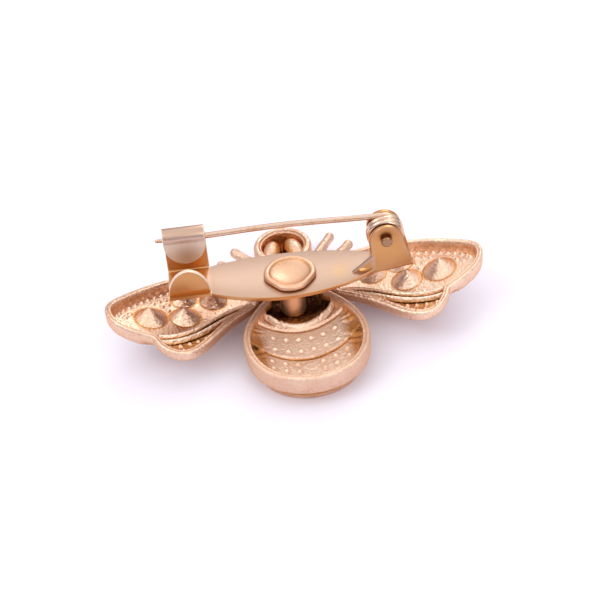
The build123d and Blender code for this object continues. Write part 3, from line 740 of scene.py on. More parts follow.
# Painted shadow lines along the bands' steps.
BAND_SHADOW_LINES, BAND_SHADOW_WIDTH, BAND_SHADOW_TONE = (-3.85, -9.1), 0.17, 2.2
BODY_PROFILE = [
    # inset from the outline, share of the way from the front (0) to the back's rim (1), tone of painted
    # light and shade, darkest as painted shadow under the rim's overhang
    (1.00, 0.93, 0.5),
    (0.95, 0.985, 0.2),
    (0.86, 1.0, -0.4),
    (0.74, 1.0, -0.3),
    (0.64, 0.98, 0.3),
    (0.55, 0.98, 0.3),
    (0.45, 1.0, -0.2),
    (0.26, 0.995, -0.4),
    (0.12, 0.975, -0.1),
    (0.03, 0.93, 0.0),
    (0.0, 0.87, 0.05),
    (0.03, 0.62, 0.1),
    (0.08, 0.47, 0.15),
    (0.14, 0.43, 0.4),
    (0.36, 0.42, 0.9),
    (0.80, 0.41, 1.0),
    (0.98, 0.40, 1.3),
    (1.04, 0.34, 1.6),
    (1.08, 0.24, 1.3),
    (1.12, 0.17, 0.4),
    (1.20, 0.08, 0.1),
    (1.35, 0.03, 0.3),
    (1.70, 0.005, 0.4),
]
BODY_FRONT_INSET = 2.2
PANEL_RISE = 0.26

half_egg = [(a * ABDOMEN_HALF, TAIL_Y + b * ABDOMEN_LENGTH) for a, b in EGG]
whole_egg = half_egg + [(0.0, TAIL_Y + ABDOMEN_LENGTH)] + [(-x, y) for x, y in half_egg[:0:-1]]
egg = smooth_line(whole_egg, EGG_POINTS, closed=True)[:EGG_POINTS // 2]
in_thorax = (egg[:, 0] / THORAX_HALF[0]) ** 2 + ((egg[:, 1] - THORAX_Y) / THORAX_HALF[1]) ** 2 < 1
in_thorax[:EGG_POINTS // 4] = False
meeting = np.argmax(in_thorax)
turn = np.linspace(math.asin((egg[meeting, 1] - THORAX_Y) / THORAX_HALF[1]), math.pi / 2, OVAL_POINTS)
oval = np.stack([THORAX_HALF[0] * np.cos(turn), THORAX_Y + THORAX_HALF[1] * np.sin(turn)], -1)
body_side = even_steps(np.concatenate([egg[:meeting], oval]), BODY_STEPS)
body_side[[0, -1], 0] = 0
body_outline = loop_of(body_side, body_side * (-1, 1))

body_spots = []
for row_y, places, gap in BODY_ROWS:
    row_x = (np.arange(places) - (places - 1) / 2) * BODY_DOT_PITCH
    row_x = row_x[np.abs(row_x) > 0.5 * gap]
    body_spots += list(zip(row_x, row_y + DOT_CURVE * row_x**2))


def swaying(place, waves, sway, sway_waves):
    """Sine waves whose phase sways with a slower sine."""
    return np.sin(place * waves + sway * np.sin(place * sway_waves))


def body_floor(x, y):
    """Points and tones of the hollow's floor: a barrel whose line steps down at curved bands."""
    curve = np.where(y < LIP_Y + BAND_CURVE * x**2, BAND_CURVE, LIP_CURVE)
    along = y - curve * x**2
    middle = np.interp(along, *np.array(FLOOR_LINE).T)
    height = BARREL_Z - np.sqrt(np.maximum((BARREL_Z - middle) ** 2 - x**2, BARREL_LEAST))
    side = step_between(height - middle, *SIDE_RISE) * step_between(-y, *SIDE_SPAN)
    spokes = np.arctan2(np.abs(x), SPOKE_REACH - (y - SPOKE_Y) * SPOKE_SHARE)
    streaks = swaying(spokes, *STREAKS) * step_between(y, *STREAK_SPAN)
    facets = swaying(x, *FACETS) * step_between(np.abs(x), *FACET_SPAN)
    ledge, riser = (step_between(along, *up) * step_between(-along, *down) for up, down in (LEDGE, RISER))
    disc = DISC_RADIUS - np.hypot(x - DISC_X, (y - DISC_Y) * DISC_SQUASH)
    height = height + STREAK_HEIGHT * streaks * side + FACET_HEIGHT * facets * ledge
    height = height + bumps(x, y, body_spots, BODY_DOT_RADIUS, BODY_DOT_HEIGHT)
    height = height + DISC_HEIGHT * step_between(disc, *DISC_EDGE)
    hollow = step_between(along, *HOLLOW_STEP)
    # The tones paint light and shade: the bands pale, the lowest band a little darker, the side walls
    # orange in painted shade and streaked with it, a painted highlight on each dot with a painted shadow
    # just below it, the risers bright, the hollow round the post in dark painted shade, and a painted
    # shadow line along each band's step.
    tone = BAND_TONE + LOW_BAND_TONE * (along < LOW_BAND_Y) + (SIDE_TONE + STREAK_TONE * streaks) * side
    shade = bumps(x, y - DOT_SHADE_Y, body_spots, BODY_DOT_RADIUS * DOT_SHADE_SPREAD, 1.0)
    tone = tone + DOT_SHADE_TONE * shade - DOT_TONE * bumps(x, y, body_spots, BODY_DOT_RADIUS, 1.0)
    tone = tone * (1 - riser) + RISER_TONE * riser
    tone = tone * (1 - hollow) + (HOLLOW_TONE + DEEP_TONE * step_between(y, *DEEP_STEP)) * hollow
    band_shadow = sum(bell(along, shadow_line_y, BAND_SHADOW_WIDTH) for shadow_line_y in BAND_SHADOW_LINES)
    tone = tone + BAND_SHADOW_TONE * band_shadow * (1 - hollow) * (1 - side)
    return np.stack([x, y, np.minimum(height, BODY_RIM_Z * HIGHEST_FLOOR)], -1), np.clip(tone, -1, 2)


def body_panel(x, y, rise=PANEL_RISE, share=0.0):
    """Points over the front, which is a little higher under the thorax, or on the way to the rim."""
    front = THORAX_FRONT_Z * step_between(y, *THORAX_FRONT_STEP)
    return np.stack([x, y, front + rise + share * (BODY_RIM_Z - front)], -1)


def body_wall(x, y, share):
    """Points at a share of the way from the front up to the rim."""
    return body_panel(x, y, 0.0, share)


body_sheets = tray(
    body_outline, BODY_WALL, body_floor, BODY_PROFILE, BODY_FRONT_INSET, body_wall, body_panel, BODY_ACROSS,
)
body_metal = plated_metal("rose_gold_abdomen", PALE, grain_height=0.12, roughness=0.56)
cast_piece("body", body_sheets, body_metal)

# The head: a ring with a doubled rim, cast on the thorax's end. In it stand the egg-shaped backs of the two
# eye cups, with a web between them; the tones paint the web bright as a painted highlight, and the ring's
# floor and the domes' inner sides and feet in painted shade.
HEAD_Y = 12.6
HEAD_RADIUS = 4.05
HEAD_RIM_Z = 4.2
HEAD_FLOOR_Z = 1.9
HEAD_FRONT_Z = 0.35
HEAD_WALL, HEAD_FRONT_INSET, HEAD_STEPS, HEAD_ACROSS = 1.2, 1.5, 160, 90
HEAD_TONE = 1.05
WEB_Y, WEB_RADII, WEB_HEIGHT, WEB_TONE = -1.6, (1.4, 1.5), 1.0, -0.9
EYE_X, EYE_Y, EYE_LEAN = 1.60, 0.2, 0.18
EYE_RADII = (1.45, 2.4)
EYE_TOP_Z, EYE_FULLNESS = 4.0, 0.8
EYE_TONE, EYE_INNER_TONE, EYE_FOOT, EYE_FOOT_TONE = 0.1, 1.0, 0.9, 0.6
HEAD_PROFILE = [
    # inset from the outline, share of the way from the front (0) to the back's rim (1), tone of painted
    # light and shade
    (1.12, 0.86, 0.7),
    (1.05, 0.92, 0.3),
    (0.95, 0.93, 0.1),
    (0.86, 0.91, 0.5),
    (0.80, 0.93, 0.2),
    (0.70, 0.99, 0.0),
    (0.50, 1.0, 0.0),
    (0.28, 0.99, 0.0),
    (0.10, 0.95, 0.0),
    (0.0, 0.87, 0.1),
    (0.02, 0.40, 0.15),
    (0.12, 0.24, 0.2),
    (0.5, 0.08, 0.3),
    (1.0, 0.01, 0.4),
]


def head_floor(x, y):
    """Points and tones of the head's floor: two egg-shaped domes, leaning apart, and a low web."""
    web = np.clip(1 - np.hypot(x / WEB_RADII[0], (y - HEAD_Y - WEB_Y) / WEB_RADII[1]), 0, 1)
    height = HEAD_FLOOR_Z + WEB_HEIGHT * web
    # The tones paint the floor orange as painted shade and the web bright as a painted highlight; each dome
    # gets painted shade on its inner side and round its foot.
    tone = HEAD_TONE + WEB_TONE * np.sqrt(web)
    for side in (-1, 1):
        a = (x - side * EYE_X) + EYE_LEAN * side * (y - HEAD_Y)
        reach = np.hypot(a / EYE_RADII[0], (y - HEAD_Y - EYE_Y) / EYE_RADII[1])
        dome = np.sqrt(np.clip(1 - reach**2, 0, 1)) ** EYE_FULLNESS
        height = np.maximum(height, HEAD_FLOOR_Z + (EYE_TOP_Z - HEAD_FLOOR_Z) * dome)
        eye_tone = EYE_TONE + EYE_INNER_TONE * np.clip(-side * a, 0, 1) + EYE_FOOT_TONE * (reach > EYE_FOOT)
        tone = np.where(reach < 1, eye_tone, tone)
    return np.stack([x, y, height], -1), np.clip(tone, -1, 2)


def head_wall(x, y, share=0.0):
    """Points at a share of the way from the head's front up to its rim."""
    return np.stack([x, y, np.full_like(x, HEAD_FRONT_Z + share * (HEAD_RIM_Z - HEAD_FRONT_Z))], -1)


spin = np.linspace(-math.pi / 2, math.pi / 2, HEAD_STEPS)
head_side = np.stack([HEAD_RADIUS * np.cos(spin), HEAD_Y + HEAD_RADIUS * np.sin(spin)], -1)
head_side[[0, -1], 0] = 0
head_outline = loop_of(head_side, head_side * (-1, 1))
head_sheets = tray(
    head_outline, HEAD_WALL, head_floor, HEAD_PROFILE, HEAD_FRONT_INSET, head_wall, head_wall, HEAD_ACROSS,
)
cast_piece("head", head_sheets, cast_metal)

# Antennae and front legs: four round rods cast on the neck and the thorax's shoulders, each with
# a worn round end and the mould's parting line along its back.
ROD_RADIUS = 0.67
ROD_Z = 3.7
RODS = [
    # name, root and tip from the head's centre
    ("antenna", (3.1, -4.9), (7.1, 0.9)),
    ("leg", (5.2, -6.2), (9.4, -1.5)),
]
ROD_POINTS, ROD_END_POINTS, ROD_END_TURN = 30, 12, 1.5
ROD_WAVE_HEIGHT, ROD_WAVES = 0.04, 2.3
ROD_SIDES, ROD_TONE = 24, 0.05
PARTING_HEIGHT, PARTING_WIDTH = 0.08, 0.16


def tube(path, radii, flat, sides, ridge=0.0):
    """Points of a round bar along a path with that radius at each point, closed at its ends.

    flat is the direction that the section's first axis is square to; a ridge is raised along it.
    """
    ahead = np.gradient(path, axis=0)
    ahead /= np.linalg.norm(ahead, axis=1)[:, None]
    sideways = np.cross(ahead, flat)
    sideways /= np.linalg.norm(sideways, axis=1)[:, None]
    upright = np.cross(sideways, ahead)
    angle = np.linspace(0, 2 * math.pi, sides, endpoint=False)
    reach = radii[:, None] * (1 + ridge * bell(angle, math.pi / 2, PARTING_WIDTH))
    points = (
        path[:, None]
        + sideways[:, None] * (reach * np.cos(angle))[..., None]
        + upright[:, None] * (reach * np.sin(angle))[..., None]
    )
    ends = [np.broadcast_to(path[k], points[:1].shape) for k in (0, -1)]
    return np.concatenate([ends[0], points, ends[1]])


for side, sign in (("right", 1), ("left", -1)):
    for name, root, tip in RODS:
        root, tip = (np.array([sign * x, HEAD_Y + y, ROD_Z]) for x, y in (root, tip))
        length = np.linalg.norm(tip - root)
        end = ROD_RADIUS * np.cos(np.linspace(0, ROD_END_TURN, ROD_END_POINTS))
        from_tip = np.concatenate([np.linspace(length, ROD_RADIUS, ROD_POINTS), end])
        path = tip + (root - tip) * (from_tip / length)[:, None]
        inside = np.clip(1 - from_tip / ROD_RADIUS, 0, 1)
        waves = 1 + ROD_WAVE_HEIGHT * np.sin(from_tip * ROD_WAVES + sign)
        rod = tube(path, ROD_RADIUS * np.sqrt(1 - inside**2) * waves, (0, 0, 1), ROD_SIDES, PARTING_HEIGHT)
        cast_piece(f"{side}_{name}", [(rod, ROD_TONE, True)], cast_metal)

# The post: cast with the thorax, on a small foot, and riveted over the bar. Its head was dished
# by the punch, and the punch's flats show on its nearer edge.
POST_X = -0.5
POST_Y = 0.45
POST_RADIUS = 1.7
POST_STEPS = 128
POST_COLOUR = (0.82, 0.53, 0.36, 1)
BAR_TOP_Z = 8.0
HEAD_LOW_Z = BAR_TOP_Z + 0.14
HEAD_TOP_Z = 8.91
POST_PROFILE = [
    # radius, height, tone of painted light and shade, dark painted shade at the foot in the hollow and
    # under the bar
    (0.0, 1.9, 2.0),
    (1.85, 1.9, 2.0),
    (1.80, 2.34, 2.0),
    (1.78, 2.40, 1.8),
    (1.73, 2.52, 1.4),
    (POST_RADIUS, 2.75, 0.6),
    (POST_RADIUS, 3.2, 0.1),
    (POST_RADIUS, 4.5, 0.0),
    (POST_RADIUS, 5.8, 0.2),
    (POST_RADIUS, 7.25, 0.9),
    (1.1, 7.32, 0.6),
    (1.1, HEAD_LOW_Z, 0.4),
]
RIVETED_PROFILE = [
    # radius, share of the way up the head, tone of painted light and shade
    (3.36, 0.0, 1.2),
    (3.44, 0.06, 0.9),
    (3.50, 0.22, 0.3),
    (3.52, 0.45, 0.0),
    (3.48, 0.68, 0.0),
    (3.38, 0.86, 0.0),
    (3.22, 0.97, 0.0),
    (3.05, 1.0, 0.0),
    (2.88, 0.96, 0.1),
    (2.76, 0.86, 0.6),
    (2.68, 0.74, 0.7),
    (2.58, 0.64, 0.2),
    (2.4, 0.50, 0.0),
    (2.1, 0.32, 0.0),
    (1.7, 0.16, -0.1),
    (1.2, 0.03, -0.1),
    (0.6, -0.04, 0.0),
    (0.0, -0.05, 0.0),
]
PUNCH_FLATS = [
    # direction that the flat faces in degrees, distance as a share of the radius
    (-146, 0.90),
    (-42, 0.92),
]
PUNCH_SOFTENING = 14
PUNCH_RADIUS = 3.2

around = np.linspace(0, 2 * math.pi, POST_STEPS, endpoint=False)
punched = np.ones(POST_STEPS)
for facing, distance in PUNCH_FLATS:
    from_flat = np.cos(around - math.radians(facing))
    punched = np.minimum(punched, distance / np.maximum(from_flat, distance))
for _ in range(PUNCH_SOFTENING):
    punched = (np.roll(punched, 1) + 2 * punched + np.roll(punched, -1)) / 4
post_rows = list(POST_PROFILE)
for radius, share, tone in RIVETED_PROFILE:
    reach = radius * (1 + (punched - 1) * min(radius / PUNCH_RADIUS, 1) ** 3)
    post_rows.append((reach, HEAD_LOW_Z + share * (HEAD_TOP_Z - HEAD_LOW_Z), tone))
post_points = np.array([
    np.column_stack([
        POST_X + reach * np.cos(around), POST_Y + reach * np.sin(around), np.full(POST_STEPS, height)
    ])
    for reach, height, tone in post_rows
])
post_tones = np.array([tone for _, _, tone in post_rows])[:, None]
post_metal = plated_metal("rose_gold_post", POST_COLOUR, grain_height=0.01, roughness=0.46)
cast_piece("post", [(post_points, post_tones, True)], post_metal)

# The bar: a bought-in pin back, stamped from brass sheet and plated. A leaf-shaped plate, bent up
# a little at its ends; at the left its end is folded twice into the catch, at the right two ears
# and a pierced gusset are bent up. Its face is brushed, and the plating is yellower in one patch.
BAR_LEFT = -16.7
BAR_RIGHT = 15.7
LEAF_LEFT = -11.1
LEAF_RIGHT = 10.5
LEAF_FRONT_HALF = 4.15
LEAF_BACK_HALF = 5.2
LEAF_LAP, LEAF_GAP, LEAF_BACK_END = 0.5, 0.01, 3.85
LEAF_POINTS, LEAF_END_POINTS = 90, 16
SHEET = 0.6
SHEET_EDGE = 0.11
NARROW_EDGE = 0.48
BAR_BEND = 100.0
BAR_TURN = math.radians(-4.5)
CATCH_FRONT = -1.95
CATCH_BACK = 4.35
CATCH_Z = 8.563
CATCH_HEIGHT = 7.4
FOLD_GAP = 1.2
UPPER_TAB = 5.0
LOWER_TAB = 4.0
UPPER_TAB_ROOT = 0.6
BEND_INSIDE = 0.35
TAB_POINTS, WALL_POINTS, BEND_POINTS = 26, 20, 8
WALL_MARGIN = 0.1
# Tones paint the catch's light and shade: orange painted shade on the lower tab and down inside, a pale
# painted reflection on the upper tab, and painted highlights along its edges; the leaf's edges get orange
# painted shade.
CATCH_TONES = (0.9, -1.0, 1.15, 0.1)
CATCH_EDGE_TONE, LEAF_EDGE_TONE = -2.0, 0.8
EAR_FRONT = -1.05
EAR_BACK = 3.0
EAR_X = 13.1
EAR_Z = 8.929
EAR_LEAN = math.radians(7.816)
EAR_HALF = 2.6
EAR_TOP = 2.25
# The ears' tones are orange painted shade, more on the back ear.
EAR_FRONT_DISH, EAR_FRONT_TONE = 0.3, 0.65
EAR_BACK_DISH, EAR_BACK_TONE = 0.2, 0.9
PIVOT_HEIGHT = 4.2
PIVOT_HOLE = 0.5
PLATE_STEPS, FACE_ROWS, EDGE_ANGLES = 120, 14, (60, 30, 0)
DISH_REACH = 1.6
# A ring of painted shade round each hole.
HOLE_TONE = 0.9
HOLE_SHADE = 0.62
GUSSET_LEFT = 7.3
GUSSET_HEIGHT = 2.1
GUSSET_TONE = 0.2
GUSSET_FOOT, GUSSET_RIGHT = (0, -1, 0.64), (1, 0, 1.54)
SLOT = (0.95, 0.24)
SLOT_INSET = 1.14
CORNER_STEPS = np.radians([0, 30, 60, 90])
ON_FACE = np.array([0, 0, 0, 1, 1, 0, 0, 0, 0, 0, 0, 1, 1, 0, 0, 0])
HAIR, GRAZING = 1e-4, 1e-3


def turned_bar(points):
    """Points turned with the bar about the post."""
    x, y = points[..., 0] - POST_X, points[..., 1] - POST_Y
    c, s = math.cos(BAR_TURN), math.sin(BAR_TURN)
    return np.stack([POST_X + c * x - s * y, POST_Y + s * x + c * y, points[..., 2]], -1)


def bar_top(x):
    """Height of the bar's face: an arc of a circle over the post."""
    return BAR_TOP_Z + BAR_BEND - np.sqrt(BAR_BEND**2 - (x - POST_X) ** 2)


def arc_through(x, *places):
    """y at x on the circle through three places."""
    (x1, y1), *others = places
    chords = np.array(others) - (x1, y1)
    cx, cy = np.linalg.solve(chords, [(a**2 - x1**2 + b**2 - y1**2) / 2 for a, b in others])
    radius = math.hypot(x1 - cx, y1 - cy)
    return cy + math.copysign(1, others[0][1] - cy) * np.sqrt(radius**2 - (x - cx) ** 2)


def strip(front, back, upright, tone, edge_tone):
    """A strip of sheet metal between two edges of its upper face, with rounded edges and closed ends."""
    across_strip = back - front
    width = np.linalg.norm(across_strip, axis=1)[:, None]
    across_strip = across_strip / np.maximum(width, HAIR)
    edge = np.minimum(SHEET_EDGE, width * NARROW_EDGE)
    offsets, heights = [], []
    for corner, turn_from in enumerate((180, 90, 0, -90)):
        angle = math.radians(turn_from) - CORNER_STEPS
        offsets.append((width - edge if corner in (1, 2) else edge) + edge * np.cos(angle))
        heights.append((edge - SHEET if corner in (2, 3) else -edge) + edge * np.sin(angle))
    offsets, heights = (np.concatenate(part, 1)[..., None] for part in (offsets, heights))
    points = front[:, None] + offsets * across_strip[:, None] + heights * upright[:, None]
    middles = np.broadcast_to(points.mean(1, keepdims=True), points.shape)
    tones = np.broadcast_to(tone, len(front))[:, None] * ON_FACE + edge_tone * (1 - ON_FACE)
    points = np.concatenate([middles[:1], points, middles[-1:]])
    return turned_bar(points), np.concatenate([tones[:1], tones, tones[-1:]]), True


def pierced_plate(centre, along, outward, reach, hole, tone, dish=0.0):
    """A flat plate round a hole: its edge and its hole are distances that vary with the angle."""
    angle = np.linspace(0, 2 * math.pi, PLATE_STEPS, endpoint=False)
    outer, inner = reach(angle), hole(angle)
    half = SHEET / 2
    face = np.linspace(0, 1, FACE_ROWS)
    rows = []
    for share in face:
        sunk = dish * bell(share * (outer - inner), 0, DISH_REACH)
        rows.append((inner + share * (outer - SHEET_EDGE - inner), half - sunk))
    for turn in np.radians(EDGE_ANGLES):
        height = np.full_like(outer, half - SHEET_EDGE + SHEET_EDGE * math.sin(turn))
        rows.append((outer - SHEET_EDGE + SHEET_EDGE * math.cos(turn), height))
    rows += [(radius, -height) for radius, height in rows[::-1]]
    rows.append(rows[0])
    upright = np.cross(along, (0, 1, 0))
    points = np.array([
        centre
        + (radius * np.cos(angle))[:, None] * along
        + (radius * np.sin(angle))[:, None] * upright
        + height[:, None] * outward
        for radius, height in rows
    ])
    out_along = np.concatenate([face, np.ones(2 * len(EDGE_ANGLES)), face[::-1], face[:1]])
    # The tone gets a ring of painted shade round the hole.
    return turned_bar(points), (tone + HOLE_TONE * bell(out_along, 0, HOLE_SHADE))[:, None], True


leaf_end = np.linspace(LEAF_RIGHT + LEAF_GAP, BAR_RIGHT, LEAF_END_POINTS)
leaf_x = np.concatenate([np.linspace(LEAF_LEFT - LEAF_LAP, LEAF_RIGHT, LEAF_POINTS), leaf_end])
bulge = np.clip(leaf_x, LEAF_LEFT, LEAF_RIGHT)
leaf_edges = [
    np.column_stack([leaf_x, arc_through(bulge, first, middle, last), bar_top(leaf_x)])
    for first, middle, last in (
        ((LEAF_LEFT, CATCH_FRONT), (POST_X, POST_Y - LEAF_FRONT_HALF), (LEAF_RIGHT, EAR_FRONT)),
        ((LEAF_RIGHT, EAR_BACK), (POST_X, POST_Y + LEAF_BACK_HALF), (LEAF_LEFT, LEAF_BACK_END)),
    )
]
slope = (leaf_x - POST_X) / BAR_BEND
leaf = strip(*leaf_edges, np.column_stack([-slope, 0 * slope, np.sqrt(1 - slope**2)]), 0.0, LEAF_EDGE_TONE)

# The catch's line, seen from its end: up the lower tab, over the floor, up the wall, round the fold
# and down the upper tab.
inner = SHEET + BEND_INSIDE
fold_radius = FOLD_GAP / 2 + SHEET
fold_y = CATCH_BACK - fold_radius
fold_z = CATCH_Z + CATCH_HEIGHT - fold_radius
floor_z = CATCH_Z - SHEET
upper_root_z = fold_z - UPPER_TAB_ROOT
upper_length = UPPER_TAB - fold_radius - UPPER_TAB_ROOT
out = np.linspace(0, math.pi / 2, TAB_POINTS)
bend = np.linspace(0, math.pi / 2, BEND_POINTS)
fold = np.linspace(0, math.pi, TAB_POINTS)
catch_line = np.column_stack([np.concatenate(part) for part in zip(
    (np.full(TAB_POINTS, CATCH_FRONT), CATCH_Z + LOWER_TAB * np.sin(out[::-1])),
    (CATCH_FRONT + inner * (1 - np.cos(bend)), floor_z + inner * (1 - np.sin(bend))),
    (CATCH_BACK - inner * (1 - np.cos(bend[::-1])), floor_z + inner * (1 - np.sin(bend[::-1]))),
    (
        np.full(WALL_POINTS, CATCH_BACK),
        np.linspace(floor_z + inner + WALL_MARGIN, fold_z - WALL_MARGIN, WALL_POINTS),
    ),
    (fold_y + fold_radius * np.cos(fold), fold_z + fold_radius * np.sin(fold)),
    (np.full(TAB_POINTS, fold_y - fold_radius), upper_root_z - upper_length * np.sin(out)),
)])
keep = np.concatenate([[True], np.linalg.norm(np.diff(catch_line, axis=0), axis=1) > HAIR])
catch_line = catch_line[keep]
ahead = np.gradient(catch_line, axis=0)
ahead /= np.linalg.norm(ahead, axis=1)[:, None]
outward = np.column_stack([0 * ahead[:, 0], ahead[:, 1], -ahead[:, 0]])
in_lower = np.arange(len(catch_line)) < TAB_POINTS
in_upper = np.arange(len(catch_line)) >= len(catch_line) - TAB_POINTS
catch_z = catch_line[:, 1]
upper_rise, lower_rise = (upper_root_z - catch_z) / upper_length, (catch_z - CATCH_Z) / LOWER_TAB
rise = np.select([in_upper, in_lower], [upper_rise, lower_rise])
half_width = (LEAF_LEFT - BAR_LEFT) / 2 * np.sqrt(np.clip(1 - np.clip(rise, 0, 1) ** 2, HAIR, 1))
catch_edges = [
    np.column_stack([(BAR_LEFT + LEAF_LEFT) / 2 + sign * half_width, catch_line]) for sign in (-1, 1)
]
catch_tone = np.select([in_lower, in_upper, catch_z < fold_z], CATCH_TONES[:3], CATCH_TONES[3])
catch = strip(*catch_edges, outward, catch_tone, CATCH_EDGE_TONE)


def within_lines(angle, lines):
    """How far a ray at each angle runs before the nearest line, each a normal and a distance."""
    hits = []
    for normal_x, normal_y, distance in lines:
        facing = np.cos(angle) * normal_x + np.sin(angle) * normal_y
        hits.append(np.where(facing > GRAZING, distance / np.maximum(facing, GRAZING), np.inf))
    return np.min(hits, axis=0)


def ear_reach(angle):
    """Round at the top, and widening a little down to its foot in the bar."""
    depth = PIVOT_HEIGHT + SHEET / 2
    side = math.atan2(EAR_HALF - EAR_TOP, depth)
    nx, ny = math.cos(side), math.sin(side)
    lower = within_lines(angle, [(nx, ny, EAR_TOP * nx), (-nx, ny, EAR_TOP * nx), (0, -1, depth)])
    return np.where(np.sin(angle) >= 0, EAR_TOP, lower)


def round_hole(angle):
    """The rivet's hole."""
    return np.full_like(angle, PIVOT_HOLE)


def gusset_reach(angle):
    """The gusset's sloping upper edge, its end at the ear and its foot in the bar."""
    return within_lines(angle, [(*edge_normal, edge_distance), GUSSET_RIGHT, GUSSET_FOOT])


def slot_hole(angle):
    """The gusset's long oval slot."""
    return SLOT[0] * SLOT[1] / np.hypot(SLOT[1] * np.cos(angle), SLOT[0] * np.sin(angle))


toward = np.array([0.0, -1.0, 0.0])
ear_along = np.array([math.cos(EAR_LEAN), 0, math.sin(EAR_LEAN)])
ear_up = np.array([-math.sin(EAR_LEAN), 0, math.cos(EAR_LEAN)])
pivot = np.array([EAR_X, 0, EAR_Z]) + ear_up * PIVOT_HEIGHT
ears = [
    pierced_plate(pivot + (0, y, 0), ear_along, outward, ear_reach, round_hole, tone, dish)
    for y, outward, tone, dish in (
        (EAR_FRONT + SHEET / 2, toward, EAR_FRONT_TONE, EAR_FRONT_DISH),
        (EAR_BACK - SHEET / 2, -toward, EAR_BACK_TONE, EAR_BACK_DISH),
    )
]
low_z, high_z = (float(bar_top(x)) for x in (GUSSET_LEFT, LEAF_RIGHT))
slot_x, slot_z = LEAF_RIGHT - SLOT_INSET, high_z + SLOT[1]
edge_run, edge_rise = LEAF_RIGHT - GUSSET_LEFT, high_z + GUSSET_HEIGHT - low_z + SHEET / 2
edge_normal = np.array([-edge_rise, edge_run]) / math.hypot(edge_run, edge_rise)
edge_distance = float(edge_normal @ (GUSSET_LEFT - slot_x, low_z - SHEET / 2 - slot_z))
slot_place = np.array([slot_x, EAR_FRONT + SHEET / 2, slot_z])
gusset = pierced_plate(slot_place, np.array([1.0, 0, 0]), toward, gusset_reach, slot_hole, GUSSET_TONE)

# The bar's own colour is pink, yellower in one patch and darker in its scratches. Over it the tone paints
# light and shade: orange painted shade, a pale painted reflection on the upper tab, and painted highlights
# on the catch's edges.
BAR_PINK = (0.59, 0.41, 0.315, 1)
BAR_YELLOW = (0.66, 0.44, 0.25, 1)
BAR_SCRATCH = (0.44, 0.29, 0.21, 1)
BAR_PAINTED_SHADE = (0.62, 0.31, 0.12, 1)
BAR_PAINTED_REFLECTION = (0.84, 0.72, 0.60, 1)
BAR_PAINTED_EDGE_HIGHLIGHT = (1.0, 0.86, 0.72, 1)
BRUSHING, UPRIGHT_BRUSHING, BRUSH_DETAIL = (60, 2600, 2600), (3000, 300, 90), 3.0
BAR_CLOUD, BAR_SPECK = (330.0, 5.0), (3500.0, 2.0)
PATCH_PLACE, PATCH_STEP, PATCH_CLOUD, PATCH_SHARE = (-0.0062, 0.0003, -0.0082), (2.2, 0.6), 3.0, 0.7
SCRATCH_STEP, SCRATCH_SHARE = (0.08, 0.3), 0.5
ORANGE_CLOUD, REFLECTION_BRUSH, DULL_AND_REFLECTION_STEP, EDGE_HIGHLIGHT_STEP = 0.3, 0.6, (0.2, 1.0), (1.4, 2.0)
BRUSH_BUMP, SPECK_BUMP, BRUSH_STRENGTH, BRUSH_HEIGHT = 0.8, 0.35, 0.35, 0.012
BRUSH_ROUGH, CLOUD_ROUGH, DULL_ROUGH, BAR_ROUGH = 0.16, 0.12, 0.22, 0.26
bar_metal = Finish("brushed_bar")
place = bar_metal.node("TexCoord").outputs["Object"]
tone = bar_metal.value("Attribute", "Fac", {"attribute_name": "tone"})
brush, upright_brush = (
    bar_metal.noise(1.0, BRUSH_DETAIL, Vector=bar_metal.node(
        "Mapping", None, {"Vector": place, "Rotation": (0, 0, -BAR_TURN), "Scale": scale}
    ).outputs[0])
    for scale in (BRUSHING, UPRIGHT_BRUSHING)
)
cloud = bar_metal.noise(*BAR_CLOUD, Vector=place)
speck = bar_metal.noise(*BAR_SPECK, Vector=place)
patch_place = bar_metal.node("Mapping", None, {"Vector": place, "Location": PATCH_PLACE}).outputs[0]
from_patch = bar_metal.value("VectorMath", "Value", {"operation": "LENGTH"}, {"Vector": patch_place})
yellowed = (from_patch * (1 / MM) + (cloud - 0.5) * PATCH_CLOUD).between(*PATCH_STEP) * PATCH_SHARE
colour = blend_colours(bar_metal, yellowed, BAR_PINK, BAR_YELLOW)
colour = blend_colours(bar_metal, (brush - 0.5).between(*SCRATCH_STEP) * SCRATCH_SHARE, colour, BAR_SCRATCH)
# Painted shade, painted reflection and painted edge highlights, from the tone.
painted_shade_share = (tone + (cloud - 0.5) * ORANGE_CLOUD).between(0.0, 1.0)
colour = blend_colours(bar_metal, painted_shade_share, colour, BAR_PAINTED_SHADE)
painted_reflection_share = (-tone + (upright_brush - 0.5) * REFLECTION_BRUSH).between(*DULL_AND_REFLECTION_STEP)
colour = blend_colours(bar_metal, painted_reflection_share, colour, BAR_PAINTED_REFLECTION)
colour = blend_colours(bar_metal, (-tone).between(*EDGE_HIGHLIGHT_STEP), colour, BAR_PAINTED_EDGE_HIGHLIGHT)
rough = brush * BRUSH_ROUGH + (cloud - 0.5) * CLOUD_ROUGH + (-tone).between(*DULL_AND_REFLECTION_STEP) * DULL_ROUGH
bump = bar_metal.node("Bump", None, {"Strength": BRUSH_STRENGTH, "Distance": BRUSH_HEIGHT * MM})
bar_metal.feed(bump.inputs["Height"], brush * BRUSH_BUMP + speck * SPECK_BUMP + cloud)
bar_metal.set(
    Base_Color=colour,
    Metallic=1.0,
    Roughness=rough + BAR_ROUGH,
    Normal=bump.outputs["Normal"],
    Specular_Tint=EDGE_TINT,
)
bar_mesh = sheet_mesh("bar", [leaf, catch, *ears, gusset])
make_object("bar", bar_mesh, [bar_metal], "brooch", ["pin_back"])

